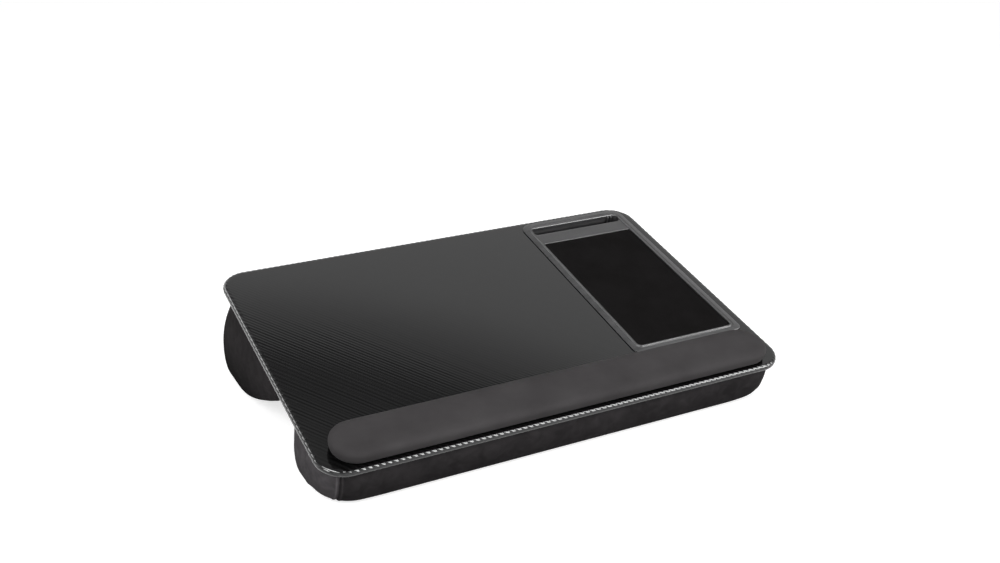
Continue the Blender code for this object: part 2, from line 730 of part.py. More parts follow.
class Bolster:
    """One bolster's section path and the rounding of its ends.

    Towards an end the section is drawn in twice: its walls move towards its middle by the plan rounding, and its
    foot rises towards the board by the end's rise.
    """

    def __init__(self, path, outer_rounds, inner_round, rise, rise_run):
        self.path = path
        self.outer_rounds = outer_rounds
        self.inner_round = inner_round
        self.rise = rise
        self.rise_run = rise_run
        self.outer_y = path[1][0]
        self.inner_y = path[-1][0]
        self.middle_y = (self.outer_y + self.inner_y) / 2
        self.hang_level = path[-1][1]
        self.depth = self.hang_level - min(z for _, z in path)

    def draw_in(self, y, z, distance):
        """A section point as it lies at a distance from the end plane."""
        depth_share = max(self.hang_level - z, 0) / self.depth
        radius = self.inner_round
        if (y - self.middle_y) * (self.outer_y - self.middle_y) > 0:
            high, low = self.outer_rounds
            radius = low + (high - low) * (1 - depth_share) ** 2
        half = abs(self.outer_y - self.middle_y)
        draw = 1 - fillet(distance, radius, radius) / half
        lift = fillet(distance, self.rise, self.rise_run) * depth_share
        return self.middle_y + (y - self.middle_y) * draw, z + lift

    def ring(self, path, distance, end_x, side):
        x = side * (end_x - distance)
        return [(x, *self.draw_in(y, z, distance)) for y, z in path]

    def inset_path(self, inset):
        """The path from the board's underside down, moved inwards along its own normals."""
        lower = [point for point in self.path[1:-1] if point[1] < FILL_TOP]
        points = [(self.outer_y, FILL_TOP)] + lower + [(self.inner_y, FILL_TOP)]
        turn = 1 if self.outer_y > self.inner_y else -1
        last = len(points) - 1
        moved = []
        for index, (y, z) in enumerate(points):
            along = Vector(points[min(index + 1, last)]) - Vector(points[max(index - 1, 0)])
            along.normalize()
            inward = Vector((turn * along.y, -turn * along.x))
            if index in (0, last):
                moved.append((y + inset / inward.x, z))
            else:
                moved.append((y + inset * inward.x, z + inset * inward.y))
        return moved


def panel_distances():
    """Distances from the end plane of the end panel's rings: closer together where the rounding is tight."""
    widest = END_PANEL_WIDTH - SEAM_GAP
    turns = [step / END_PANEL_STEPS for step in range(END_PANEL_STEPS + 1)]
    return [widest * (1 - math.sin(math.pi / 2 * turn)) for turn in turns]


def wrap_distances(bolster):
    """Distances of the wrap's rings: its seam, the end's rounding in plan, then to where its foot lies flat."""
    reach = max(bolster.outer_rounds)
    distances = [END_PANEL_WIDTH + (reach - END_PANEL_WIDTH) * share for share in WRAP_RING_SHARES]
    if bolster.rise_run > reach:
        distances += [reach + (bolster.rise_run - reach) * share for share in RISE_RING_SHARES]
    return distances


def close_end(shape, ring, side):
    """A crowned cap over a closed ring: a smaller ring, pushed out, then a point at its middle."""
    middle = sum((vert.co for vert in ring), Vector()) / len(ring)
    outwards = Vector((side, 0, 0))
    inner = [
        middle + (vert.co - middle) * END_CROWN_SHARE + outwards * END_CROWN * (1 - END_CROWN_SHARE**2)
        for vert in ring
    ]
    crown = add_ring(shape, inner)
    skin(shape, [ring, crown], closed=True)
    fan(shape, crown, shape.verts.new(middle + outwards * END_CROWN), closed=True)


def wrap_mesh(name, bolster):
    shape = bmesh.new()
    distances = wrap_distances(bolster)
    places = [(-1, distance) for distance in distances] + [(1, distance) for distance in reversed(distances)]
    rings = [add_ring(shape, bolster.ring(bolster.path, distance, END_CAP_X, side)) for side, distance in places]
    skin(shape, rings, closed=False)
    face_outwards(shape, (0, bolster.middle_y, bolster.hang_level - bolster.depth / 2))
    return mesh_from(name, shape)


def end_panel_mesh(name, bolster, side):
    """An end panel: the section below the hem, drawn in ring by ring and closed by a crowned cap."""
    shape = bmesh.new()
    sections = [bolster.ring(bolster.path[1:], distance, END_CAP_X, side) for distance in panel_distances()]
    rings = [add_ring(shape, section) for section in sections]
    skin(shape, rings, closed=False)
    inner_top = sections[-1][-1]
    corner = shape.verts.new((inner_top[0], inner_top[1], HEM_TOP))
    close_end(shape, rings[-1] + [corner], side)
    face_outwards(shape, (side * SEAM_X, bolster.middle_y, bolster.hang_level - bolster.depth / 2))
    return mesh_from(name, shape)


def fill_mesh(name, bolster):
    inset = COVER_THICKNESS + FIT_GAP
    path = bolster.inset_path(inset)
    distances = panel_distances()[::-1] + wrap_distances(bolster)
    places = [(-1, distance) for distance in distances] + [(1, distance) for distance in reversed(distances)]
    shape = bmesh.new()
    rings = [add_ring(shape, bolster.ring(path, distance, END_CAP_X - inset, side)) for side, distance in places]
    for ring in rings:
        for vert in (ring[0], ring[-1]):
            vert.co.z = FILL_TOP
    skin(shape, rings, closed=True)
    close_end(shape, rings[0], -1)
    close_end(shape, rings[-1], 1)
    bmesh.ops.recalc_face_normals(shape, faces=shape.faces)
    return mesh_from(name, shape)


def make_bolster(desk, name, bolster, cloth, stuffing):
    """A bolster: its wrap, which keeps clear of the phone trough, its two end panels and its stuffing."""
    wrap = desk.piece(name + "_wrap", wrap_mesh(name + "_wrap", bolster), cloth)
    wall(wrap, COVER_THICKNESS)
    inwards = -1 if bolster.outer_y > 0 else 1
    y = bolster.outer_y + inwards * STAPLE_INSET
    holes = leg_holes_mesh(name + "_hem_holes", y, HEM_TOP - COVER_THICKNESS - FIT_GAP, STAPLE_TOP)
    desk.cut(wrap, name + "_hem_holes", holes)
    notch = flat_mesh(name + "_hem_notch", [trough_outline(FIT_GAP)], BASE_TOP, STAPLE_TOP)
    desk.cut(wrap, name + "_hem_notch", notch)
    for side, end in ((-1, "left"), (1, "right")):
        panel = f"{name}_end_{end}"
        wall(desk.piece(panel, end_panel_mesh(panel, bolster, side), cloth), COVER_THICKNESS)
    desk.piece(name + "_fill", fill_mesh(name + "_fill", bolster), stuffing)


def make_bolsters(desk):
    cloth = material("bolster_suede", (0.017, 0.016, 0.016), 0.9)
    stuffing = material("bolster_stuffing", (0.75, 0.75, 0.72), 0.95)
    front = Bolster(
        front_path(), (FRONT_PLAN_ROUND, FRONT_PLAN_ROUND), FRONT_INNER_ROUND, FRONT_RISE, FRONT_RISE_RUN
    )
    rear = Bolster(
        rear_path(), (REAR_PLAN_ROUND_TOP, REAR_PLAN_ROUND_LOW), REAR_INNER_ROUND, REAR_RISE, REAR_RISE_RUN
    )
    make_bolster(desk, "front_bolster", front, cloth, stuffing)
    make_bolster(desk, "rear_bolster", rear, cloth, stuffing)


# Staples


def staple_outline():
    """A staple seen along Y: a crown with two legs, as (x, z) points."""
    half = STAPLE_CROWN / 2
    crown_bottom = STAPLE_TOP - STAPLE_WIRE
    leg_bottom = STAPLE_TOP - STAPLE_LEG
    return [
        (-half, STAPLE_TOP),
        (-half, leg_bottom),
        (-half + STAPLE_WIRE, leg_bottom),
        (-half + STAPLE_WIRE, crown_bottom),
        (half - STAPLE_WIRE, crown_bottom),
        (half - STAPLE_WIRE, leg_bottom),
        (half, leg_bottom),
        (half, STAPLE_TOP),
    ]


def staple_mesh():
    shape = bmesh.new()
    ends = (-STAPLE_WIDTH / 2, STAPLE_WIDTH / 2)
    rings = [add_ring(shape, [(x, end, z) for x, z in staple_outline()]) for end in ends]
    skin(shape, rings, closed=True)
    for ring in rings:
        shape.faces.new(ring)
    bmesh.ops.recalc_face_normals(shape, faces=shape.faces)
    return mesh_from("staple", shape)


def make_staples(desk):
    steel = metal("staple_steel", (0.60, 0.60, 0.62), 0.35)
    mesh = staple_mesh()
    row = COVER_EDGE - STAPLE_INSET
    for side, name in ((-1, "front_staple"), (1, "rear_staple")):
        for index, x in enumerate(staple_places()):
            staple = desk.piece(f"{name}_{index + 1}", mesh, steel)
            staple.location = (x, side * row, 0)


def centre_on_ground(desk):
    """Slides the board frame along Y so that the origin is under the middle of the whole object."""
    bpy.context.view_layer.update()
    graph = bpy.context.evaluated_depsgraph_get()
    reaches = []
    for item in desk.parts.objects:
        if item.type == "MESH":
            seen = item.evaluated_get(graph)
            reaches += [(item.matrix_world @ vert.co).y for vert in seen.data.vertices]
    desk.frame.location.y = -(min(reaches) + max(reaches)) / 2


def main():
    clear_scene()
    desk = Desk()
    make_laminate(desk)
    make_top_board(desk)
    make_base_board(desk)
    make_board_tape(desk)
    make_lining(desk)
    make_bezel(desk)
    make_mouse_pad(desk)
    make_wrist_rest(desk)
    make_bolsters(desk)
    make_staples(desk)
    centre_on_ground(desk)


main()
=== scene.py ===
# %% [markdown]
# A lap desk, dressed for a studio picture. The solids that a workshop would cut and sew come in as a fixed
# frame, and this notebook gives each one its surface: an embossed film, moulded plastic, knitted cloth, a padded
# skin and two stuffed bolsters in suede cloth. Each new surface is worked out as arrays of points, so that its
# shape is a formula that can be read and changed.

# %% Load the frame
import json
import math

import bpy
import numpy as np
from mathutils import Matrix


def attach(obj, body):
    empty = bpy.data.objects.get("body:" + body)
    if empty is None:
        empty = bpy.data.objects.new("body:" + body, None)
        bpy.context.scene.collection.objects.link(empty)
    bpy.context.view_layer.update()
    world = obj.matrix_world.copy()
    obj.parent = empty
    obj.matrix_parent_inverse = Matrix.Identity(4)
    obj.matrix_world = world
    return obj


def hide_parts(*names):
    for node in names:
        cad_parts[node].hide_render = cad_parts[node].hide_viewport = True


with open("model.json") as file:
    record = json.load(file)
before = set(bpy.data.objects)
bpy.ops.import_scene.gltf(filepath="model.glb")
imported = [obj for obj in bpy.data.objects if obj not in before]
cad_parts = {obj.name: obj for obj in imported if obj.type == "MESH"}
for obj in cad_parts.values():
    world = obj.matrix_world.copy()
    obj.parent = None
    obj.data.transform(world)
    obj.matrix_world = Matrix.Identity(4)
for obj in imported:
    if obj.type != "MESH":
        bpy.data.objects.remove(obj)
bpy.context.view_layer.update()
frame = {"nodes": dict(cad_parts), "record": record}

nodes = frame["nodes"]
print("solids in the frame:", len(nodes))

# %% [markdown]
# The board slopes, and everything on it is easier to describe flat. So the board gets its own frame, with its
# origin at the middle of its top, Y to the rear and Z out of the top. The slope is read from the axis of the
# mouse pad's mount, and the origin from the corners of the laminate, seen in turned coordinates. The two
# functions below carry arrays of points both ways.

# %% The board's own frame
MM = 0.001

pad_mount = [m for m in frame["record"]["mounts"] if m["name"] == "mouse_pad_face"][0]
SLOPE = math.atan2(-pad_mount["axis"][1], pad_mount["axis"][2])
ACROSS_SLOPE = np.array([
    [1, 0, 0],
    [0, math.cos(SLOPE), -math.sin(SLOPE)],
    [0, math.sin(SLOPE), math.cos(SLOPE)],
])


def node_points(node):
    points = np.zeros(len(nodes[node].data.vertices) * 3)
    nodes[node].data.vertices.foreach_get("co", points)
    return points.reshape(-1, 3)


def level_box(node, origin=np.zeros(3)):
    """The lowest and highest corner of a solid in the board's frame."""
    points = (node_points(node) - origin) @ ACROSS_SLOPE
    return points.min(0), points.max(0)


film_low, film_high = level_box("carbon_laminate")
ORIGIN = ACROSS_SLOPE @ np.array([0, (film_low[1] + film_high[1]) / 2, film_high[2]])


def to_world(points):
    """Turns points of the board's frame by the slope and moves them to the board's origin."""
    return points @ ACROSS_SLOPE.T + ORIGIN


def board_box(node):
    return level_box(node, ORIGIN)


print("slope in degrees:", round(math.degrees(SLOPE), 3), "origin:", ORIGIN.round(5))

# %% [markdown]
# Two ideas make most of the surfaces. A grid of points becomes a mesh of four-sided faces, closed in either
# direction where it meets itself. And a ring is a rounded rectangle with the same number of points whatever its
# size, so a stack of rings, each with its own inset and height, is a profile carried round a corner without a
# fold.

# %% Grids and rings


def grid_faces(rows, columns, close_rows=False, close_columns=False):
    """Faces between neighbours of a grid, as four vertex numbers each."""
    index = np.arange(rows * columns).reshape(rows, columns)
    if close_rows:
        index = np.vstack([index, index[:1]])
    if close_columns:
        index = np.hstack([index, index[:, :1]])
    return np.stack([index[:-1, :-1], index[:-1, 1:], index[1:, 1:], index[1:, :-1]], -1).reshape(-1, 4)


def facing_out(points, faces):
    """The faces of a closed shape, turned round if the volume that they enclose comes out negative."""
    a, b, c, d = np.moveaxis(points.reshape(-1, 3)[faces], 1, 0)
    volume = np.sum(np.cross(b - a, c - a) * a + np.cross(c - a, d - a) * a)
    return faces if volume > 0 else faces[:, ::-1]


def new_piece(name, points, faces, uv=None):
    """A mesh object at the world's origin, smooth shaded, with an optional UV place for each vertex."""
    mesh = bpy.data.meshes.new(name)
    mesh.from_pydata(points.reshape(-1, 3).tolist(), [], faces.tolist())
    if uv is not None:
        corner = np.zeros(len(mesh.loops), np.int32)
        mesh.loops.foreach_get("vertex_index", corner)
        layer = mesh.uv_layers.new(name="places")
        layer.data.foreach_set("uv", uv.reshape(-1, 2)[corner].astype(np.float32).ravel())
    mesh.shade_smooth()
    mesh.update()
    piece = bpy.data.objects.new(name, mesh)
    bpy.context.scene.collection.objects.link(piece)
    return piece


def ring(left, right, front, rear, front_radius, rear_radius, side_steps, corner_steps):
    """A rounded rectangle from the rear end of its right side on, anticlockwise, as x and y.

    Each corner is a quarter circle about a centre one radius in from both sides, and the sides are straight runs
    between them. side_steps holds the number of steps along X and along Y.
    """
    quarter = np.linspace(0, math.pi / 2, corner_steps + 1)
    corners = [(right, rear, rear_radius, 0), (left, rear, rear_radius, 1),
               (left, front, front_radius, 2), (right, front, front_radius, 3)]
    runs = []
    for x, y, radius, turn in corners:
        centre = np.array([x - math.copysign(radius, x - (left + right) / 2),
                           y - math.copysign(radius, y - (front + rear) / 2)])
        angle = quarter + turn * math.pi / 2
        runs.append(centre + radius * np.stack([np.cos(angle), np.sin(angle)], -1))
    points = []
    for place, run in enumerate(runs):
        following = runs[(place + 1) % 4]
        steps = side_steps[place % 2]
        share = np.linspace(0, 1, steps + 1)[1:-1, None]
        points += [run, run[-1] * (1 - share) + following[0] * share]
    return np.concatenate(points)


def run_length(points):
    """Distance along a line of points, from the first on."""
    step = np.linalg.norm(np.diff(points, axis=0), axis=1)
    return np.concatenate([[0], np.cumsum(step)])


def stack_rings(rings, levels):
    """Puts each x, y ring at its own level."""
    return np.stack([np.column_stack([r, np.broadcast_to(z, len(r))]) for r, z in zip(rings, levels)])


print("helpers ready")

# %% [markdown]
# Materials are small node graphs. The helper below keeps them short: it adds a node, sets its numbers and links
# what it is given. Patterns read Object coordinates turned back by the slope, so that they lie flat on the board,
# or the piece's own UV places.

# %% Material helpers


class Finish:
    """A Principled material with a few helpers that add and link nodes."""

    def __init__(self, name, colour, roughness, metallic=0.0, **constants):
        self.material = bpy.data.materials.new(name)
        self.material.use_nodes = True
        self.tree = self.material.node_tree
        self.shader = self.tree.nodes["Principled BSDF"]
        self.shader.inputs["Base Color"].default_value = (*colour, 1)
        self.shader.inputs["Roughness"].default_value = roughness
        self.shader.inputs["Metallic"].default_value = metallic
        for socket, value in constants.items():
            self.shader.inputs[socket.replace("_", " ")].default_value = value

    def node(self, kind, **settings):
        node = self.tree.nodes.new("ShaderNode" + kind)
        for name, value in settings.items():
            setattr(node, name, value)
        return node

    def feed(self, socket, value):
        """Links a node's output to a socket, or sets the socket to a number."""
        if hasattr(value, "is_linked"):
            self.tree.links.new(value, socket)
        else:
            socket.default_value = value

    def math(self, operation, first, second=0.0, third=0.0):
        node = self.node("Math", operation=operation)
        for socket, value in zip(node.inputs, (first, second, third)):
            self.feed(socket, value)
        return node.outputs[0]

    def places(self, scale=(1, 1, 1), turn=0.0):
        """Object coordinates laid flat on the board, turned in its plane and stretched."""
        source = self.node("TexCoord")
        level = self.node("Mapping", vector_type="POINT")
        level.inputs["Rotation"].default_value = (-SLOPE, 0, 0)
        self.tree.links.new(source.outputs["Object"], level.inputs["Vector"])
        turned = self.node("Mapping", vector_type="POINT")
        turned.inputs["Rotation"].default_value = (0, 0, turn)
        turned.inputs["Scale"].default_value = scale
        self.tree.links.new(level.outputs["Vector"], turned.inputs["Vector"])
        return turned.outputs["Vector"]

    def uv(self):
        split = self.node("SeparateXYZ")
        self.tree.links.new(self.node("UVMap", uv_map="places").outputs["UV"], split.inputs[0])
        return split.outputs["X"], split.outputs["Y"]

    def noise(self, scale, detail=2.0, vector=None, roughness=0.5, distortion=0.0):
        node = self.node("TexNoise")
        self.feed(node.inputs["Vector"], vector or self.places())
        settings = {"Scale": scale, "Detail": detail, "Roughness": roughness, "Distortion": distortion}
        for socket, value in settings.items():
            node.inputs[socket].default_value = value
        return node.outputs["Fac"]

    def cells(self, scale, vector=None, feature="F1"):
        node = self.node("TexVoronoi", feature=feature)
        self.feed(node.inputs["Vector"], vector or self.places())
        node.inputs["Scale"].default_value = scale
        return node.outputs["Distance"]

    def ramp(self, value, low, high, start=0.0, end=1.0):
        """Maps a value between start and end to a number between low and high."""
        node = self.node("MapRange", clamp=True)
        for socket, number in zip(node.inputs[1:5], (start, end, low, high)):
            socket.default_value = number
        self.feed(node.inputs[0], value)
        return node.outputs[0]

    def tint(self, share, dark, light):
        """A colour between dark and light by the share. Each is three numbers, or another node's colour."""
        node = self.node("Mix", data_type="RGBA")
        self.feed(node.inputs[0], share)
        for socket, colour in ((node.inputs[6], dark), (node.inputs[7], light)):
            self.feed(socket, colour if hasattr(colour, "is_linked") else (*colour, 1))
        return node.outputs[2]

    def bump(self, height, distance, strength=1.0, under=None):
        node = self.node("Bump")
        node.inputs["Distance"].default_value = distance
        node.inputs["Strength"].default_value = strength
        self.feed(node.inputs["Height"], height)
        if under is not None:
            self.feed(node.inputs["Normal"], under)
        return node.outputs["Normal"]

    def set(self, **sockets):
        for socket, value in sockets.items():
            self.feed(self.shader.inputs[socket.replace("_", " ")], value)
        return self.material


def dress(piece, finish, slot_name, *replaced):
    """Gives a piece its material, rides it on the body and hides the solids that it replaces."""
    piece.data.materials.clear()
    piece.data.materials.append(finish)
    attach(piece, "root")
    if replaced:
        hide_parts(*replaced)
    print(piece.name, "faces:", len(piece.data.polygons))


print("material helper ready")

# %% [markdown]
# The laminate is a thin printed film over the board, embossed like a carbon weave and rolled round the edge. It
# could be a scaled box with a bump map, but the roll is what catches the light, so its twill is real relief
# there. The film is one closed tube: rings run from the window's edge out to the edge of the board, round the
# roll, under the board, and back along the film's inner side.

# %% The laminate's sizes
board_low, board_high = board_box("carbon_laminate")
core_low, core_high = board_box("top_board")
BOARD_CORNER = 30 * MM
EDGE_ROUND = 3.2 * MM
FILM = 0.6 * MM
FILM_RETURN = 6 * MM
BEZEL_SLOPE_WIDTH = 5 * MM
bezel_low, bezel_high = board_box("tray_bezel")
BEZEL_FRONT_CORNER = 8 * MM
BEZEL_REAR_CORNER = 15 * MM
THICKNESS = -board_low[2]
BOARD_STEPS = (880, 520)
CORNER_STEPS = 45
COARSE_STEPS = (40, 30)
COARSE_CORNER_STEPS = 16


def board_ring(inset, side_steps=BOARD_STEPS, corner_steps=CORNER_STEPS):
    corner = BOARD_CORNER - inset
    return ring(board_low[0] + inset, board_high[0] - inset, board_low[1] + inset, board_high[1] - inset,
                corner, corner, side_steps, corner_steps)


def window_ring(inset, side_steps=BOARD_STEPS, corner_steps=CORNER_STEPS):
    front_corner, rear_corner = max(BEZEL_FRONT_CORNER - inset, FILM), max(BEZEL_REAR_CORNER - inset, FILM)
    return ring(bezel_low[0] + inset, bezel_high[0] - inset, bezel_low[1] + inset, bezel_high[1] - inset,
                front_corner, rear_corner, side_steps, corner_steps)


def roll_profile(upper_steps, lower_steps, depth=0.0):
    """Inset and height round the board's edge, a depth inside it: two quarter circles and a wall between."""
    radius = EDGE_ROUND - depth
    quarters = []
    for steps in (upper_steps, lower_steps):
        angle = np.linspace(0, math.pi / 2, steps)
        inset, level = EDGE_ROUND - radius * np.sin(angle), radius * np.cos(angle) - EDGE_ROUND
        quarters.append(np.column_stack([inset, level]))
    upper, lower = quarters[0], quarters[1][::-1] * [1, -1] - [0, THICKNESS]
    return np.vstack([upper, [(upper[-1] + lower[0]) / 2], lower])


print("board thickness:", round(THICKNESS, 5))

# %% [markdown]
# The relief is a two by two twill. Tows run along and across the board, each passes over two and under two, and
# the place where it passes over shifts by one tow at each row, which gives slanting ribs. The film was pressed
# flat and then rolled round the edge, so each point's pattern is read at the place it had when the film lay flat.
# There the ribs stretch into thick strands, like a twisted rope.

# %% The rolled edge with its twill
TOW_X = 1.625 * MM
TOW_Y = 2.15 * MM
ROPE_DEPTH = 0.5 * MM
TOW_DEPTH = 0.05 * MM
RIPPLE_TOWS = 3


def twill(u, v):
    """Height from 0 to 1, by the count of tows: the arch of the family that lies on top at each place."""
    warp = np.abs(np.sin(np.pi * u)) ** 0.6
    weft = np.abs(np.sin(np.pi * v)) ** 0.6
    on_top = 0.5 + 0.5 * np.tanh(3 * np.sin(np.pi * (u + v) / 2))
    return on_top * warp + (1 - on_top) * weft


def rope(u, v):
    """Height of the slanting strands from 0 to 1: rounded, with a narrow groove every fourth tow."""
    return np.abs(np.sin(np.pi * (u + v) / 4)) ** 0.8


roll = roll_profile(10, 4)
roll_run = run_length(roll)
LEAD_IN = [9 * MM, 6 * MM, 4.6 * MM, 3.9 * MM]
window_rings = [window_ring(BEZEL_SLOPE_WIDTH), window_ring(BEZEL_SLOPE_WIDTH - 0.5 * MM)]
film_rings = window_rings + [board_ring(inset) for inset in LEAD_IN]
film_levels = [0] * len(film_rings)
film_rings += [board_ring(inset) for inset, _ in roll] + [board_ring(FILM_RETURN)]
film_levels += [level for _, level in roll] + [-THICKNESS]
film_outside = stack_rings(film_rings, film_levels)

past_flat = np.array([EDGE_ROUND - inset for inset in LEAD_IN] + list(roll_run)
                     + [roll_run[-1] + FILM_RETURN - EDGE_ROUND])
lay_flat = np.stack(window_rings + [board_ring(EDGE_ROUND - run) for run in past_flat])
u, v = lay_flat[..., 0] / TOW_X, lay_flat[..., 1] / TOW_Y
relief = ROPE_DEPTH * (rope(u, v) - 1) + TOW_DEPTH * (twill(u, v) - 1)
shown = np.interp(past_flat, np.array([-1.0, 0.4, 6, 9]) * MM, [0, 1, 1, 0])
relief *= np.concatenate([[0, 0], shown])[:, None]

tangent = np.roll(film_outside, -1, 1) - np.roll(film_outside, 1, 1)
normal = np.cross(np.gradient(film_outside, axis=0), tangent)
normal /= np.maximum(np.linalg.norm(normal, axis=2, keepdims=True), 1e-12)
film_outside = film_outside + normal * relief[..., None]
print("relief from", relief.min(), "to", relief.max())

# %% The film as one closed tube
inner_roll = roll_profile(3, 3, FILM)[::-1]
inner_rings = [board_ring(FILM_RETURN)] + [board_ring(inset) for inset, _ in inner_roll]
inner_rings.append(window_ring(BEZEL_SLOPE_WIDTH))
inner_levels = [FILM - THICKNESS] + [level for _, level in inner_roll] + [-FILM]
film_inside = stack_rings(inner_rings, inner_levels)
film_points = np.concatenate([film_outside, film_inside])
film_uv = np.concatenate([lay_flat, film_inside[..., :2]]) / (10 * MM)
film_faces = facing_out(film_points, grid_faces(len(film_points), film_points.shape[1], True, True))
laminate = new_piece("laminate_film_skin", to_world(film_points), film_faces, film_uv)

# %% [markdown]
# The film is black with a soft sheen. On the flat it shows only the fine weave, so a bump carries the twill
# there, drawn by the same rule as the relief, and the two families of tows differ a little in gloss. A slow ripple
# of three tows lies over it, the press marks that draw faint slanting lines where the film mirrors a bright edge.
# Round the edge the film is stretched and a little greyer, partly from the stretch and partly as a painted
# highlight for the light along the roll, and the places that it had when flat tell how far round a point lies.

# %% The film's finish


def film_finish():
    finish = Finish("laminate_film", (0.004, 0.004, 0.0042), 0.14)
    x, y = finish.uv()
    u = finish.math("DIVIDE", x, TOW_X / (10 * MM))
    v = finish.math("DIVIDE", y, TOW_Y / (10 * MM))
    warp = finish.math("ABSOLUTE", finish.math("SINE", finish.math("MULTIPLY", u, math.pi)))
    weft = finish.math("ABSOLUTE", finish.math("SINE", finish.math("MULTIPLY", v, math.pi)))
    diagonal = finish.math("ADD", u, v)
    on_top = finish.ramp(finish.math("SINE", finish.math("MULTIPLY", diagonal, math.pi / 2)), 0, 1, -0.3, 0.3)
    ripple = finish.math("SINE", finish.math("MULTIPLY", diagonal, 2 * math.pi / RIPPLE_TOWS))
    height = finish.math("ADD", finish.math("MULTIPLY", on_top, warp),
                         finish.math("MULTIPLY", finish.math("SUBTRACT", 1.0, on_top), weft))
    grain = finish.noise(900, 3)
    normal = finish.bump(grain, 0.003 * MM, 0.5)
    normal = finish.bump(height, 0.004 * MM, 0.6, normal)
    normal = finish.bump(ripple, 0.0105 * MM, 1.0, normal)
    cloudy = finish.noise(9, 2)
    half_x, half_y = (board_high[0] - EDGE_ROUND) / (10 * MM), (board_high[1] - EDGE_ROUND) / (10 * MM)
    beyond_x = finish.math("SUBTRACT", finish.math("ABSOLUTE", x), half_x)
    beyond_y = finish.math("SUBTRACT", finish.math("ABSOLUTE", y), half_y)
    stretch_and_painted_highlight = finish.ramp(finish.math("MAXIMUM", beyond_x, beyond_y), 0, 1, 0.05, 0.35)
    # The rolled edge's lighter base colour is partly stretched film and partly a painted highlight.
    tone = finish.math("ADD", finish.math("MULTIPLY", on_top, 0.35), finish.math("MULTIPLY", stretch_and_painted_highlight, 0.65))
    gloss = finish.math("ADD", finish.ramp(on_top, 0.06, 0.09), finish.ramp(cloudy, -0.01, 0.01, 0.3, 0.7))
    return finish.set(
        Base_Color=finish.tint(tone, (0.002, 0.002, 0.0021), (0.011, 0.011, 0.0113)),
        Roughness=finish.math("ADD", gloss, finish.math("MULTIPLY", stretch_and_painted_highlight, 0.12)),
        Normal=normal,
    )


dress(laminate, film_finish(), "laminate_film", "carbon_laminate")

# %% [markdown]
# Under the film is the pressed board. Its edge has the same round nose as the film, a film's thickness further in,
# so the two fit as they do when the film is drawn tight over a routed edge.

# %% The board's core
CORE_DEPTH = -core_high[2]
nose = roll_profile(6, 6, CORE_DEPTH)
core_window = window_ring(BEZEL_SLOPE_WIDTH, COARSE_STEPS, COARSE_CORNER_STEPS)
nose_rings = [board_ring(inset, COARSE_STEPS, COARSE_CORNER_STEPS) for inset, _ in nose]
core_levels = [core_high[2]] + [level for _, level in nose] + [core_low[2]]
core_points = stack_rings([core_window] + nose_rings + [core_window], core_levels)
core_faces = facing_out(core_points, grid_faces(len(core_points), core_points.shape[1], True, True))
core = new_piece("board_core", to_world(core_points), core_faces)


def fibreboard_finish(name, dark, light):
    finish = Finish(name, light, 0.8)
    fibres = finish.noise(260, 5, finish.places((1, 1, 6)), distortion=1.2)
    specks = finish.cells(600)
    tone = finish.math("MULTIPLY", fibres, finish.ramp(specks, 0.7, 1, 0, 0.5))
    return finish.set(Base_Color=finish.tint(tone, dark, light),
                      Roughness=finish.ramp(fibres, 0.7, 0.9, 0.3, 0.7),
                      Normal=finish.bump(fibres, 0.1 * MM, 0.5))


raw_fibre = fibreboard_finish("fibreboard", (0.21, 0.14, 0.085), (0.40, 0.30, 0.20))
dress(core, raw_fibre, "fibreboard", "top_board")

# %% [markdown]
# The tray bezel is one moulding. Its rim is a profile carried round the window: a thin lip with a dark gap under
# it, a flange that rises a little, a narrow groove, a ridge and an inner wall. A slope with a bevel would be
# simpler, but the groove and the gap are the dark lines that tell a moulding from a sheet. The rim needs its own
# corner radius at each step in, because a profile simply shifted inwards would fold over itself at the small
# corners.

# %% The bezel's rim
RIM_LIFT = 0.3 * MM
LIP_UNDERSIDE = 0.75 * MM
LIP_RETURN = 1.6 * MM
LIP_TOP = 1.15 * MM
FLANGE_RISE = 0.7 * MM
FLANGE_WIDTH = 5.6 * MM
GROOVE_WIDTH = 1.4 * MM
GROOVE_DEPTH = 0.8 * MM
RIDGE_HEIGHT = bezel_high[2]
RIDGE_WIDTH = 4.5 * MM
REAR_LAND = 3 * MM
RIDGE_ROUND = 1.1 * MM
PAD_CORNER = 5 * MM
SLOT_CORNER = 6 * MM
BAR_LEVEL = 1.3 * MM
SLOT_WIDTH = 13.5 * MM
BAR_WIDTH = 21.5 * MM
PLASTIC = 1.6 * MM
RIM_WIDTH = BEZEL_SLOPE_WIDTH + RIDGE_WIDTH
inside_left, inside_right = bezel_low[0] + RIM_WIDTH, bezel_high[0] - RIM_WIDTH
inside_front = bezel_low[1] + RIM_WIDTH
SLOT_REAR = bezel_high[1] - RIM_WIDTH - REAR_LAND
SLOT_FRONT = SLOT_REAR - SLOT_WIDTH
PAD_REAR = SLOT_FRONT - BAR_WIDTH
SLOT_FLOOR = bezel_low[2] + PLASTIC
pad_low, pad_high = board_box("mouse_pad_cloth")
backing_low, _ = board_box("mouse_pad_backing")
PAN_LEVEL = backing_low[2] - RIM_LIFT
SKIRT_GAP = 0.5 * MM
RIM_STEPS = (70, 120)
RIM_CORNER_STEPS = 18


def bezel_ring(share, inset):
    """A ring of the rim: its corners and its rear land move from the outer outline's to the inner one's."""
    front_radius = BEZEL_FRONT_CORNER + (PAD_CORNER - BEZEL_FRONT_CORNER) * share
    rear_radius = BEZEL_REAR_CORNER + (SLOT_CORNER - BEZEL_REAR_CORNER) * share
    return ring(bezel_low[0] + inset, bezel_high[0] - inset, bezel_low[1] + inset,
                bezel_high[1] - inset - REAR_LAND * share,
                front_radius, rear_radius, RIM_STEPS, RIM_CORNER_STEPS)


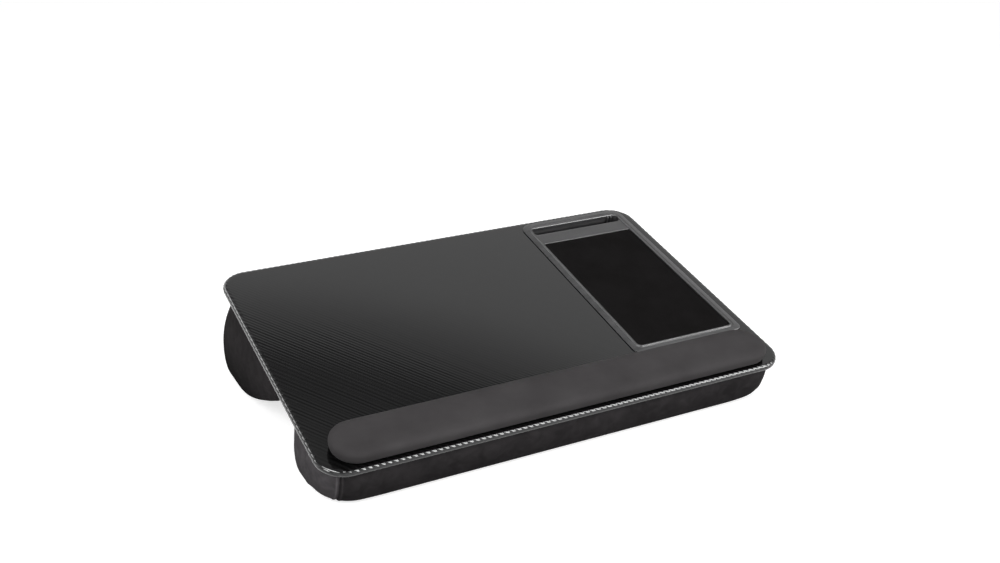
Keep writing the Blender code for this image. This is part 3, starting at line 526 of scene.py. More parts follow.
def rim_profile():
    """Inset and height of the rim: lip, straight flange, narrow groove, and a ridge rounded inside."""
    turn = np.linspace(0, math.pi / 2, 7)
    edge = 0.2 * MM
    flange_top = LIP_TOP + FLANGE_RISE
    ridge_start = FLANGE_WIDTH + GROOVE_WIDTH
    outer = [(LIP_RETURN, LIP_UNDERSIDE), (edge / 2, LIP_UNDERSIDE), (0, LIP_UNDERSIDE + edge / 2),
             (0, LIP_TOP - edge / 2), (edge / 2, LIP_TOP)]
    flange = [(FLANGE_WIDTH * s, LIP_TOP + FLANGE_RISE * s) for s in (0.3, 0.6, 0.9)]
    flange.append((FLANGE_WIDTH, flange_top))
    groove = [(FLANGE_WIDTH + edge, flange_top - edge / 2),
              (ridge_start - 2 * edge, flange_top - GROOVE_DEPTH),
              (ridge_start - edge / 2, flange_top - GROOVE_DEPTH + edge / 2)]
    crest = [(ridge_start, flange_top), (ridge_start + edge, RIDGE_HEIGHT - 1.5 * edge),
             (ridge_start + 2 * edge, RIDGE_HEIGHT - edge / 2), (ridge_start + 3.5 * edge, RIDGE_HEIGHT)]
    inner = [(RIM_WIDTH - RIDGE_ROUND * (1 - math.sin(t)), RIDGE_HEIGHT - RIDGE_ROUND * (1 - math.cos(t)))
             for t in turn]
    return np.array(outer + flange + groove + crest + inner)


profile = rim_profile()
rim_rings = [bezel_ring(np.clip((inset - BEZEL_SLOPE_WIDTH) / RIDGE_WIDTH, 0, 1), inset)
             for inset, _ in profile]
rim = stack_rings(rim_rings, profile[:, 1])
inner_edge = rim[-1]
deep = np.clip((inner_edge[:, 1] - SLOT_FRONT + SLOT_CORNER) / (SLOT_CORNER / 2), 0, 1)
foot_level = (PAN_LEVEL - PLASTIC / 2) * (1 - deep) + (SLOT_FLOOR - PLASTIC / 2) * deep
inner_foot = inner_edge.copy()
inner_foot[:, 2] = foot_level
skirt = bezel_ring(0, BEZEL_SLOPE_WIDTH + SKIRT_GAP)
outer_foot = np.column_stack([skirt, foot_level])
under_slope = np.column_stack([skirt, np.full(len(skirt), LIP_UNDERSIDE)])
rim = np.concatenate([rim, [inner_foot, outer_foot, under_slope]])
rim_faces = facing_out(rim, grid_faces(len(rim), rim.shape[1], True, True))
print("rim:", rim.shape)

# %% [markdown]
# Inside the rim lies a folded sheet: the pan under the mouse pad, the step up to the bar, the bar, the front wall
# of the phone slot and its floor. It is one profile carried along X. Near both ends the slot's front wall curves
# to the rear, so the profile's rear part shifts with a quarter circle, which gives the slot its round ends.

# %% The pan, the bar and the phone slot
BAR_ROUND = 0.35 * MM
SLOT_ROUND = 1.2 * MM
FLOOR_ROUND = 2 * MM


def arc(centre, radius, start, end, steps=7):
    """Points on a circle in the plane of Y and Z, from one angle to another, in degrees."""
    angle = np.radians(np.linspace(start, end, steps))
    return np.column_stack([centre[0] + radius * np.cos(angle), centre[1] + radius * np.sin(angle)])


fold = np.vstack([
    [[inside_front - 0.4 * MM, PAN_LEVEL], [PAD_REAR - 0.4 * MM, PAN_LEVEL]],
    arc((PAD_REAR + BAR_ROUND, BAR_LEVEL - BAR_ROUND), BAR_ROUND, 180, 90),
    np.column_stack([np.linspace(PAD_REAR + BAR_ROUND, SLOT_FRONT - SLOT_ROUND, 8)[1:-1],
                     np.full(6, BAR_LEVEL)]),
    arc((SLOT_FRONT - SLOT_ROUND, BAR_LEVEL - SLOT_ROUND), SLOT_ROUND, 90, 0, 9),
    arc((SLOT_FRONT + FLOOR_ROUND, SLOT_FLOOR + FLOOR_ROUND), FLOOR_ROUND, 180, 270),
    [[SLOT_REAR - FLOOR_ROUND, SLOT_FLOOR]],
    arc((SLOT_REAR - FLOOR_ROUND + 0.4 * MM, SLOT_FLOOR + FLOOR_ROUND), FLOOR_ROUND, 270, 360),
    [[SLOT_REAR + 0.4 * MM, 0]],
])
half_width = (inside_right - inside_left) / 2
side = np.sin(np.linspace(-1, 1, 81) * math.pi / 2)
across_tray = (inside_left + inside_right) / 2 + side * (half_width + 0.4 * MM)
from_end = np.clip(half_width - np.abs(across_tray - (inside_left + inside_right) / 2), 0, SLOT_CORNER)
corner_shift = SLOT_CORNER - np.sqrt(SLOT_CORNER**2 - (SLOT_CORNER - from_end) ** 2)
moves = np.clip((fold[:, 0] - SLOT_FRONT + SLOT_CORNER) / SLOT_CORNER, 0, 1)
moves = moves * (fold[:, 0] < SLOT_REAR - SLOT_WIDTH / 2)
tray = np.zeros((len(fold), len(side), 3))
tray[..., 0] = across_tray
tray[..., 1] = fold[:, :1] + moves[:, None] * corner_shift
tray[..., 2] = fold[:, 1:]
tray_under = tray.copy()
fold_run = np.gradient(fold, axis=0)
fold_run /= np.linalg.norm(fold_run, axis=1, keepdims=True)
tray_under[..., 1] += (PLASTIC * fold_run[:, 1])[:, None]
tray_under[..., 2] -= (PLASTIC * fold_run[:, 0])[:, None]
tray_loop = np.concatenate([tray, tray_under[::-1]])
tray_faces = grid_faces(len(tray_loop), len(side), True, False)
end_index = np.arange(len(tray_loop) * len(side)).reshape(len(tray_loop), len(side))
half = len(tray)
caps = []
for column, flip in ((0, False), (len(side) - 1, True)):
    top, under = end_index[:half, column], end_index[half:, column][::-1]
    quads = np.stack([top[:-1], under[:-1], under[1:], top[1:]], -1)
    caps.append(quads[:, ::-1] if flip else quads)
tray_faces = facing_out(tray_loop, np.concatenate([tray_faces] + caps))
print("tray:", tray_loop.shape)

# %% [markdown]
# Two slim ribs stand on the slot's rear wall near its right end. Each is a small rounded post: rings of one
# outline stacked upwards and drawn in at the top.

# %% The slot's ribs, and the bezel joined
RIB_WIDTH = 1.8 * MM
RIB_PROUD = 2.4 * MM
RIB_PITCH = 4.5 * MM
RIB_INSET = 6 * MM


def rib(right):
    """A post on the rear wall: the same rounded outline at each level, drawn in over the last millimetre."""
    levels = np.array([SLOT_FLOOR - 0.5 * MM, BAR_LEVEL - 1 * MM, BAR_LEVEL - 0.4 * MM, BAR_LEVEL, BAR_LEVEL])
    insets = np.array([0, 0, 0.15, 0.45, 0.75]) * MM
    rings = [ring(right - RIB_WIDTH + i, right - i, SLOT_REAR - RIB_PROUD + i, SLOT_REAR + 0.8 * MM - i,
                  0.8 * MM - i + 1e-5, 0.8 * MM - i + 1e-5, (2, 2), 4) for i in insets]
    return stack_rings(rings, levels)


def closed_stack(points):
    """Faces of a stack of rings, with a flat cap at each end made of pairs across the ring."""
    rows, columns = points.shape[:2]
    faces = grid_faces(rows, columns, False, True)
    half = columns // 2
    caps = []
    for row, flip in ((0, True), (rows - 1, False)):
        index = row * columns + np.arange(columns)
        across = index[::-1]
        quads = np.stack([index[:half - 1], index[1:half], across[1:half], across[:half - 1]], -1)
        caps.append(quads[:, ::-1] if flip else quads)
    return facing_out(points, np.concatenate([faces] + caps))


ribs = [rib(inside_right - RIB_INSET), rib(inside_right - RIB_INSET - RIB_PITCH)]
parts = [(rim, rim_faces), (tray_loop, tray_faces)] + [(r, closed_stack(r)) for r in ribs]
counts = np.cumsum([0] + [p.shape[0] * p.shape[1] for p, _ in parts])
bezel_points = np.concatenate([p.reshape(-1, 3) for p, _ in parts])
bezel_faces = np.concatenate([f + start for (_, f), start in zip(parts, counts)])
bezel = new_piece("bezel_moulding", to_world(bezel_points), bezel_faces, bezel_points[:, :2] / (10 * MM))


def plastic_finish():
    finish = Finish("bezel_plastic", (0.035, 0.035, 0.036), 0.42, Specular_IOR_Level=0.75)
    grain = finish.cells(1400)
    speck = finish.noise(2600, 2)
    streaks = finish.noise(240, 3, finish.places((0.06, 1.6, 1)))
    height = finish.math("ADD", grain, finish.math("MULTIPLY", speck, 0.6))
    normal = finish.bump(height, 0.02 * MM, 0.5)
    cloudy = finish.ramp(finish.noise(14, 2), 0, 0.4, 0.3, 0.7)
    tone = finish.math("ADD", finish.ramp(streaks, 0, 0.6, 0.3, 0.7), cloudy)
    return finish.set(
        Base_Color=finish.tint(tone, (0.010, 0.010, 0.0105), (0.034, 0.033, 0.035)),
        Roughness=finish.ramp(streaks, 0.32, 0.50, 0.3, 0.7),
        Normal=normal,
    )


dress(bezel, plastic_finish(), "bezel_plastic", "tray_bezel")

# %% [markdown]
# The mouse pad is a thin slab of knitted cloth on foam rubber. Its face is a stack of rings that round over its
# edge and then shrink to the middle. The cloth is nearly black, with a knit so fine that it only softens the
# light, so the knit is bump and a little sheen.

# %% The mouse pad
PAD_EDGE = 0.35 * MM
PAD_STEPS = (60, 100)
PAD_CORNER_STEPS = 10
PAD_FACE_RINGS = 14
pad_gap = pad_low[0] - inside_left


def pad_ring(inset):
    corner = max(PAD_CORNER - pad_gap - inset, 0.2 * MM)
    return ring(pad_low[0] + inset, pad_high[0] - inset, pad_low[1] + inset, pad_high[1] - inset,
                corner, corner, PAD_STEPS, PAD_CORNER_STEPS)


pad_half = (pad_high[0] - pad_low[0]) / 2
turn = np.linspace(0, math.pi / 2, 6)
face_insets = np.linspace(2 * MM, pad_half - 0.2 * MM, PAD_FACE_RINGS)
face_levels = np.full(PAD_FACE_RINGS, pad_high[2])
pad_insets = np.concatenate([[0], PAD_EDGE * (1 - np.cos(turn)), face_insets])
pad_levels = np.concatenate([[pad_low[2]], pad_high[2] - PAD_EDGE * (1 - np.sin(turn)), face_levels])
pad = stack_rings([pad_ring(i) for i in pad_insets], pad_levels)
mouse_pad = new_piece("mouse_pad_face", to_world(pad), closed_stack(pad), pad[..., :2] / (10 * MM))


def knit_finish():
    finish = Finish("pad_cloth", (0.010, 0.0095, 0.0095), 0.85, Sheen_Weight=0.003, Sheen_Roughness=0.5,
                    Specular_IOR_Level=0.01)
    u, v = finish.uv()
    wale = finish.math("SINE", finish.math("MULTIPLY", u, 2 * math.pi / 0.06))
    course = finish.math("SINE", finish.math("MULTIPLY", v, 2 * math.pi / 0.05))
    height = finish.math("ADD", finish.math("MULTIPLY", wale, course), finish.noise(2500, 2))
    worn = finish.ramp(finish.noise(30, 3), 0, 1, 0.3, 0.7)
    return finish.set(
        Base_Color=finish.tint(worn, (0.0065, 0.006, 0.006), (0.009, 0.0083, 0.0085)),
        Roughness=finish.ramp(finish.noise(300, 2), 0.78, 0.92, 0.3, 0.7),
        Normal=finish.bump(height, 0.04 * MM, 0.5),
    )


dress(mouse_pad, knit_finish(), "pad_cloth", "mouse_pad_cloth")

# %% [markdown]
# The wrist rest is foam under a smooth synthetic skin. From above it is a strip with round ends, and in section a
# crown that falls over ever faster towards the side, then tucks under to its foot. Both come from one formula: the
# rings are strips of smaller and smaller width, and the height over the inset follows a superellipse.

# %% The wrist rest
rest_low, rest_high = board_box("wrist_rest_cover")
REST_HALF = (rest_high[1] - rest_low[1]) / 2
REST_SIDE_SHARE = 0.58
REST_CROWN_POWER = 7
REST_FOOT_INSET = 3.6 * MM
REST_TURN_UNDER = 4 * MM
REST_STEPS = (150, 0)
REST_CORNER_STEPS = 28


def rest_ring(inset):
    corner = max(REST_HALF - 0.2 * MM - inset, 0.05 * MM)
    return ring(rest_low[0] + inset, rest_high[0] - inset, rest_low[1] + inset, rest_high[1] - inset,
                corner, corner, REST_STEPS, REST_CORNER_STEPS)


def rest_profile():
    """Insets and heights from the turned-under foot up the side and over the crown to the middle."""
    height = rest_high[2] - rest_low[2]
    side = rest_low[2] + REST_SIDE_SHARE * height
    lower = np.linspace(math.pi / 2, 0, 8)
    foot_inset = REST_FOOT_INSET * (1 - np.cos(lower))
    foot_level = side - (side - rest_low[2]) * np.sin(lower)
    share = (1 - np.cos(np.linspace(0, math.pi / 2, 30))) ** 1.25
    crown = side + (1 - REST_SIDE_SHARE) * height * np.sqrt(1 - (1 - share) ** REST_CROWN_POWER)
    crown_inset = share[1:] * (REST_HALF - 0.1 * MM)
    insets = np.concatenate([[REST_FOOT_INSET + REST_TURN_UNDER], foot_inset, crown_inset])
    levels = np.concatenate([[rest_low[2]], foot_level, crown[1:]])
    return insets, levels


rest_insets, rest_levels = rest_profile()
rest = stack_rings([rest_ring(i) for i in rest_insets], rest_levels)
print("wrist rest:", rest.shape, "levels", rest_levels.min(), rest_levels.max())

wrist_rest = new_piece("wrist_rest_skin", to_world(rest), closed_stack(rest), rest[..., :2] / (10 * MM))


def skin_finish():
    finish = Finish("rest_skin", (0.045, 0.0425, 0.0435), 0.8, Sheen_Weight=0.04, Sheen_Roughness=0.3,
                    Specular_IOR_Level=0.03)
    pebble = finish.cells(1100, feature="SMOOTH_F1")
    fine = finish.noise(1800, 3)
    height = finish.math("ADD", pebble, finish.math("MULTIPLY", fine, 0.5))
    normal = finish.bump(height, 0.03 * MM, 0.35)
    normal = finish.bump(finish.noise(28, 3), 0.5 * MM, 0.25, normal)
    handled = finish.ramp(finish.noise(22, 3), 0, 1, 0.3, 0.7)
    return finish.set(
        Base_Color=finish.tint(handled, (0.043, 0.0403, 0.0414), (0.056, 0.0527, 0.0540)),
        Roughness=finish.ramp(finish.noise(60, 2), 0.72, 0.86, 0.3, 0.7),
        Normal=normal,
    )


dress(wrist_rest, skin_finish(), "rest_skin", "wrist_rest_cover")

# %% [markdown]
# Each bolster is a sewn cover pushed full of stuffing: one long panel goes round the front, the foot and the inner
# side, and an end panel closes each end. Its section is drawn first: four lines on each side of a flat foot,
# smooth curves with named pulls, the same ones that the solid was cut to. The ends draw in round their corners as
# a quarter ellipse does, and their foot lifts off the ground.

# %% The bolsters' sections
lining_low, lining_high = board_box("underside_lining")
base_low, _ = board_box("base_board")
SEAM_X = lining_high[0]
END_PANEL = 16 * MM
END_X = SEAM_X + END_PANEL
END_CROWN = 2.5 * MM
HEM_LEVEL = board_box("front_bolster_wrap")[1][2]
COVER = 1 * MM
HANG_LEVEL = base_low[2] - RIM_LIFT - COVER
COVER_EDGE = board_high[1] - 4.5 * MM
WALL_STEPS = 26
FOOT_STEPS = 12
LID_STEPS = 8


def ground(y):
    """The level of the floor under a point of the board's frame."""
    return -(ORIGIN[2] + y * math.sin(SLOPE)) / math.cos(SLOPE)


def on_ground(y, shift=0.0):
    """A point on the floor, moved along the floor."""
    return np.array([y + shift * math.cos(SLOPE), ground(y) - shift * math.sin(SLOPE)])


def curve(start, start_pull, end_pull, end, steps):
    """A smooth curve between two points with a pull at each, as a cubic of its length share."""
    t = np.linspace(0, 1, steps + 1)[:, None]
    return ((1 - t) ** 3 * start + 3 * t * (1 - t) ** 2 * start_pull
            + 3 * t**2 * (1 - t) * end_pull + t**3 * end)


def quarter_rest(distance, amount, run):
    """What is left of a quarter ellipse of the given height at a distance from its start."""
    left = np.clip((run - distance) / run, 0, 1)
    return amount * (1 - np.sqrt(1 - left**2))


print("end plane at", round(END_X, 4), "hem at", round(HEM_LEVEL, 4))

# %% [markdown]
# One class keeps a bolster's numbers and answers three questions: what its section is, how that section lies at
# a distance from the end plane, and what the face of its end panel is.

# %% A bolster


class Bolster:
    """One bolster: its section as a closed line, and how its ends draw in.

    facing is -1 where the outer wall looks to the front and 1 where it looks to the rear.
    """

    def __init__(self, name, facing, wall, foot, ground_pulls, inner, rounds, inner_round, rise):
        self.name, self.facing = name, facing
        self.wall_pull, self.wall_bulge = wall
        self.outer_foot, self.inner_foot = foot
        self.ground_pulls = ground_pulls
        self.inner_y, self.inner_pull, self.inner_bulge = inner
        self.outer_y = facing * COVER_EDGE
        self.rounds, self.inner_round = rounds, inner_round
        self.rise, self.rise_run = rise
        self.middle_y = (self.outer_y + self.inner_y) / 2
        self.depth = HANG_LEVEL - self.cover(1)[:, 1].min()

    def cover(self, times):
        """The cloth's line: down the outer wall, over the flat foot and up the inner wall."""
        top = np.array([self.outer_y, HEM_LEVEL])
        inner_top = np.array([self.inner_y, HANG_LEVEL])
        outer, inner = self.outer_foot, self.inner_foot
        steps = WALL_STEPS * times
        outer_wall = curve(top, top + [self.facing * self.wall_bulge, -self.wall_pull],
                           on_ground(outer, self.facing * self.ground_pulls[0]), on_ground(outer), steps)
        inner_wall = curve(on_ground(inner), on_ground(inner, -self.facing * self.ground_pulls[1]),
                           inner_top + [self.inner_bulge, -self.inner_pull], inner_top, steps)
        share = np.linspace(0, 1, FOOT_STEPS * times + 1)[1:-1, None]
        return np.vstack([outer_wall, on_ground(outer) * (1 - share) + on_ground(inner) * share, inner_wall])

    def section(self, times):
        """The closed line: the cloth, then back under the base board and up its edge."""
        line = self.cover(times)
        flange_y = self.outer_y - self.facing * COVER
        lid = np.linspace(line[-1], [flange_y, HANG_LEVEL], LID_STEPS + 1)[1:]
        return np.vstack([line, lid, [[flange_y, HEM_LEVEL]]])

    def drawn(self, section, distance):
        """The section as it lies at each distance from the end plane: rows of x, y and z.

        A wall moves towards the middle by what is left of a quarter ellipse, whose radius runs from the upper
        to the lower rounding with the square of the height. The foot rises the same way over its own run.
        """
        y, z = section[:, 0], section[:, 1]
        away = distance[:, None]
        share = np.clip((HANG_LEVEL - z) / self.depth, 0, 1)
        high, low = self.rounds
        outer = (y - self.middle_y) * (self.outer_y - self.middle_y) > 0
        radius = np.where(outer, low + (high - low) * (1 - share) ** 2, self.inner_round)
        draw = 1 - quarter_rest(away, radius, radius) / abs(self.outer_y - self.middle_y)
        lift = quarter_rest(away, self.rise, self.rise_run) * share
        new_y = self.middle_y + (y - self.middle_y) * draw
        return np.stack([np.broadcast_to(END_X - away, new_y.shape), new_y, z + lift], -1)

    def cap(self, section, scales):
        """The end panel's face: the end ring shrunk towards its middle, with a crown, level at the rim.

        The ring is cut level under the board. Its last point goes between its neighbours, so that no face
        folds over.
        """
        rim = self.drawn(section, np.zeros(1))[0]
        rim[:, 2] = np.minimum(rim[:, 2], HANG_LEVEL)
        rim[-1] = (rim[-2] + rim[0]) / 2
        middle = rim.mean(0)
        s = scales[:, None, None]
        return middle + (rim - middle) * s + np.array([END_CROWN, 0, 0]) * (1 - s**2) ** 2


# %% The two bolsters
front_bolster = Bolster(
    "front", -1, wall=(10 * MM, 6 * MM), foot=(-160.1 * MM, -97.1 * MM), ground_pulls=(13.5 * MM, 20 * MM),
    inner=(lining_low[1] - RIM_LIFT, 35 * MM, 6 * MM), rounds=(37.9 * MM, 37.9 * MM), inner_round=9.5 * MM,
    rise=(10.2 * MM, 70 * MM))
rear_bolster = Bolster(
    "rear", 1, wall=(25 * MM, 8 * MM), foot=(145.7 * MM, 109.7 * MM), ground_pulls=(50 * MM, 52.2 * MM),
    inner=(lining_high[1] + RIM_LIFT, 35.4 * MM, 41 * MM), rounds=(53.6 * MM, 6.4 * MM), inner_round=8 * MM,
    rise=(9.1 * MM, 40 * MM))
print("sections:", front_bolster.section(1).shape, rear_bolster.section(1).shape)

# %% [markdown]
# Each bolster is also drawn as one whole bag on a coarse grid, both ends included. The cloth run blows this bag
# up, and the stuffing is the same bag made a little smaller. The front bolster holds less stuffing at its right
# end, so its foot is lifted and drawn in there.

# %% The drawn bags
NEAR_END_MM = [0, 1.4, 3.4, 6, 9, 12.4, 16]
BAG_DISTANCES = np.concatenate([NEAR_END_MM, np.linspace(22, 70, 8), np.linspace(78, 262, 24)]) * MM
CAP_SCALES = np.linspace(0.12, 0.88, 8)
SLACK_RUN = 55 * MM
SLACK = np.array([-3, 0, 5]) * MM


def mirrored(right_half):
    """Rows from the left end to the right end, out of the rows of the right half from its end inwards."""
    left = right_half * [-1, 1, 1]
    return np.concatenate([left, right_half[::-1]])


def slackened(bolster, points):
    """Lifts and draws in the foot of the front bolster's right end, where there is less stuffing.

    Both moves grow with the nearness to the end, to the power of one and a half, and with the depth.
    """
    if bolster.facing > 0:
        return points
    near_end = np.clip((points[..., 0] - END_X + SLACK_RUN) / SLACK_RUN, 0, 1) ** 1.5
    low = np.clip((HANG_LEVEL - points[..., 2]) / bolster.depth, 0, 1)
    return points + (near_end * low)[..., None] * SLACK


def bag_rows(bolster):
    section = bolster.section(1)
    rows = mirrored(np.concatenate([bolster.cap(section, CAP_SCALES), bolster.drawn(section, BAG_DISTANCES)]))
    return slackened(bolster, rows)


print("bag rows:", 2 * (len(CAP_SCALES) + len(BAG_DISTANCES)))

# %% [markdown]
# Stuffed cloth is never as even as a drawing, so each bag is blown up once as cloth. It goes into Blender's Cloth
# with pressure inside, a little spare fabric, more in some places than in others, and no gravity, held along its
# top where it is tucked between the boards. Two points of the bag must never lie on each other, because an edge
# without length stops the whole run.

# %% Blow up the bags
PRESSURE = 4.0
MOST_SPARE_CLOTH = 0.06
LEAST_SPARE_CLOTH = 0.01
BAG_FRAMES = 20


def uneven(points):
    """A number from 0 to 1 at each point, the mean of three waves of different lengths and directions."""
    x, y, z = np.moveaxis(points / (100 * MM), -1, 0)
    waves = (np.sin(5.3 * x + 2.1 * y) + np.sin(3.1 * x - 6.7 * z + 1.3)
             + np.sin(9.7 * x + 4.9 * y + 7.3 * z + 0.4))
    return 0.5 + waves / 6


def blow_up(bolster):
    """Runs the cloth on the drawn bag and returns how far each of its points moved."""
    rows = bag_rows(bolster)
    bag = new_piece(bolster.name + "_bag", to_world(rows), closed_stack(rows))
    row, column = np.divmod(np.arange(rows.shape[0] * rows.shape[1]), rows.shape[1])
    on_length = (row >= len(CAP_SCALES)) & (row < len(rows) - len(CAP_SCALES))
    under_board = (column >= len(bolster.cover(1)) - 1) | (column == 0)
    bag.vertex_groups.new(name="held").add(np.flatnonzero(on_length & under_board).tolist(), 1.0, "ADD")
    taut = bag.vertex_groups.new(name="taut")
    for number, weight in enumerate(uneven(rows).ravel().tolist()):
        taut.add([number], weight, "ADD")
    cloth = bag.modifiers.new("cloth", "CLOTH")
    cloth.settings.quality = 6
    cloth.settings.mass = 0.15
    cloth.settings.tension_stiffness = 12
    cloth.settings.compression_stiffness = 8
    cloth.settings.bending_stiffness = 0.12
    cloth.settings.vertex_group_mass = "held"
    cloth.settings.vertex_group_shrink = "taut"
    cloth.settings.shrink_min = -MOST_SPARE_CLOTH
    cloth.settings.shrink_max = -LEAST_SPARE_CLOTH
    cloth.settings.use_pressure = True
    cloth.settings.uniform_pressure_force = PRESSURE
    cloth.settings.effector_weights.gravity = 0
    cloth.point_cache.frame_start, cloth.point_cache.frame_end = 1, BAG_FRAMES
    for number in range(1, BAG_FRAMES + 1):
        bpy.context.scene.frame_set(number)
    seen = bag.evaluated_get(bpy.context.evaluated_depsgraph_get())
    moved = np.zeros(rows.size)
    seen.data.vertices.foreach_get("co", moved)
    moved = (moved.reshape(rows.shape) - ORIGIN) @ ACROSS_SLOPE - rows
    bpy.context.scene.frame_set(1)
    bpy.data.objects.remove(bag)
    return moved


print("the cloth runs for", BAG_FRAMES, "frames")

# %% [markdown]
# The drawing already has the swell, so only what the cloth adds beyond a smooth swell is kept, the puckers and
# soft dents, and no point moves further than a cap. The creases fade out towards the held edge, towards the
# floor and towards the middle of each end face.

# %% Keep the creases
CREASE_CAP = 0.4 * MM
HELD_RUN = 28 * MM
PRESSED_HEIGHT = 25 * MM
SWELL_ROUNDS = 10


def smooth_rows(values, rounds):
    """Averages each point with its neighbours, over and over. Only the section closes on itself."""
    for _ in range(rounds):
        along = np.concatenate([values[:1], values, values[-1:]])
        values = (along[:-2] + 2 * along[1:-1] + along[2:]) / 4
        values = (np.roll(values, 1, 1) + 2 * values + np.roll(values, -1, 1)) / 4
    return values


def creases(bolster):
    """What the cloth adds beyond a smooth swell, up to the cap: nothing where it is held or stands."""
    moved = blow_up(bolster)
    extra = smooth_rows(moved, 1) - smooth_rows(moved, SWELL_ROUNDS)
    length = np.linalg.norm(extra, axis=2, keepdims=True)
    print(bolster.name, "bag moved, mm:", round(np.abs(moved).max() / MM, 2),
          "creases before the cap:", round(length.max() / MM, 2))
    run = run_length(bolster.cover(1))
    from_held = np.concatenate([np.minimum(run, run[-1] - run), np.zeros(extra.shape[1] - len(run))])
    free = np.sin(np.clip(from_held / HELD_RUN, 0, 1) * math.pi / 2)[:, None] ** 2
    along = np.ones(len(extra) - 2 * len(CAP_SCALES))
    from_middle = np.concatenate([CAP_SCALES, along, CAP_SCALES[::-1]])[:, None, None]
    standing = np.clip(to_world(bag_rows(bolster))[..., 2:] / PRESSED_HEIGHT - 0.2, 0, 1)
    capped = CREASE_CAP * np.tanh(length / CREASE_CAP) / np.maximum(length, 1e-9)
    return extra * capped * free * from_middle * standing


bag_creases = {bolster.name: creases(bolster) for bolster in (front_bolster, rear_bolster)}

# %% [markdown]
# Now each bag is cut into its sewn panels. The panels are drawn again on a finer grid, with rows close together
# beside the seams, and the creases are read off the bag's coarse grid between its points. At a seam both panels
# roll inwards into a narrow groove, and the allowance behind lifts a soft ridge on each side of it.

# %% What a seam does to the cloth
SEAM_GROOVE = 0.9 * MM
SEAM_WIDTH = 0.8 * MM
SEAM_RIDGE = 0.55 * MM
RIDGE_AT = 2.8 * MM
RIDGE_SPREAD = 1.3 * MM
FINER = 2
BESIDE_SEAM = np.array([0, 0.3, 0.6, 0.9, 1.3, 1.8, 2.3, 2.8, 3.3, 3.9, 4.6, 5.5, 6.8]) * MM
WRAP_STEPS = 62
ROUND_STEPS = 14
PANEL_SCALES = np.linspace(0.96, 0.05, 14)


def seam_height(from_seam):
    """Height beside a seam: a narrow bell-shaped groove and a wider bell-shaped ridge next to it."""
    groove = -SEAM_GROOVE * np.exp(-((from_seam / SEAM_WIDTH) ** 2))
    return groove + SEAM_RIDGE * np.exp(-(((from_seam - RIDGE_AT) / RIDGE_SPREAD) ** 2))


def outward(points):
    """Unit normals of a grid, turned away from its middle."""
    normal = np.cross(np.gradient(points, axis=0), np.gradient(points, axis=1))
    normal /= np.maximum(np.linalg.norm(normal, axis=2, keepdims=True), 1e-12)
    return normal * np.sign(np.sum(normal * (points - points.mean((0, 1)))))


def read_between(values, axis, places):
    """Values between a grid's points along one axis, by a cubic through the four nearest (Catmull-Rom)."""
    low = np.clip(np.floor(places).astype(int), 0, values.shape[axis] - 2)
    t = np.clip(places - low, 0, 1).reshape([-1 if a == axis else 1 for a in range(3)])
    weights = (-t / 2 + t**2 - t**3 / 2, 1 - 2.5 * t**2 + 1.5 * t**3,
               t / 2 + 2 * t**2 - 1.5 * t**3, (t**3 - t**2) / 2)
    last = values.shape[axis] - 1
    return sum(w * np.take(values, np.clip(low + k, 0, last), axis) for k, w in zip((-1, 0, 1, 2), weights))


def bag_place(distances, scales, right):
    """The row of the bag that each fine row lies at, as a number with a fraction."""
    count = len(CAP_SCALES)
    on_length = np.interp(distances, BAG_DISTANCES, np.arange(len(BAG_DISTANCES)) + count)
    on_face = np.interp(scales, np.append(CAP_SCALES, 1), np.arange(count + 1))
    places = np.concatenate([on_length, on_face])
    last = 2 * (count + len(BAG_DISTANCES)) - 1
    return last - places if right else places


print("heights beside a seam, mm:", np.round(seam_height(BESIDE_SEAM) / MM, 2))

# %% [markdown]
# A panel is a shell one millimetre thick: its outer face, then its inner face run backwards, so the two make one
# closed loop. The wrap's loop goes round its section and is carried along the length. An end panel's loop goes
# from the seam, round the corner and over the end to its middle, and back inside.

# %% Sewn panels
wrap_distances = END_PANEL + np.concatenate([BESIDE_SEAM, np.linspace(9 * MM, SEAM_X - 2 * MM, WRAP_STEPS)])
round_share = np.linspace(0.94, 0, ROUND_STEPS)
round_run = END_PANEL - (END_PANEL - BESIDE_SEAM[-1]) * round_share**2
end_distances = END_PANEL - np.concatenate([BESIDE_SEAM, round_run])


def sewn(points, crease_places, bolster, both_ends):
    """Adds creases and seams to the drawn rows and returns the shell, kept above the floor, and UV places."""
    row_places, column_places = crease_places
    extra = read_between(read_between(bag_creases[bolster.name], 0, row_places), 1, column_places)
    points = slackened(bolster, points) + extra
    step = np.linalg.norm(np.diff(points, axis=0), axis=2)
    from_seam = np.concatenate([np.zeros((1, points.shape[1])), np.cumsum(step, 0)])
    if both_ends:
        from_seam = np.minimum(from_seam, from_seam[-1] - from_seam)
    points = points + outward(points) * seam_height(from_seam)[..., None]
    inner = points - outward(points) * COVER
    shells = [to_world(points), to_world(inner)]
    for shell, floor_level in zip(shells, (0, COVER)):
        shell[..., 2] = np.maximum(shell[..., 2], floor_level)
    round_section = np.broadcast_to(run_length(points[len(points) // 2]), from_seam.shape)
    return shells, np.stack([round_section, from_seam], -1) / (10 * MM)


def wrap_panel(bolster):
    section = bolster.cover(FINER)
    rows = mirrored(bolster.drawn(section, wrap_distances))
    places = np.concatenate([bag_place(wrap_distances, [], False), bag_place(wrap_distances, [], True)[::-1]])
    (outer, inner), uv = sewn(rows, (places, np.arange(len(section)) / FINER), bolster, True)
    loop = np.concatenate([outer, inner[:, ::-1]], 1)
    loop_uv = np.concatenate([uv, uv[:, ::-1]], 1)
    return new_piece(bolster.name + "_bolster_long_panel", loop, closed_stack(loop), loop_uv)


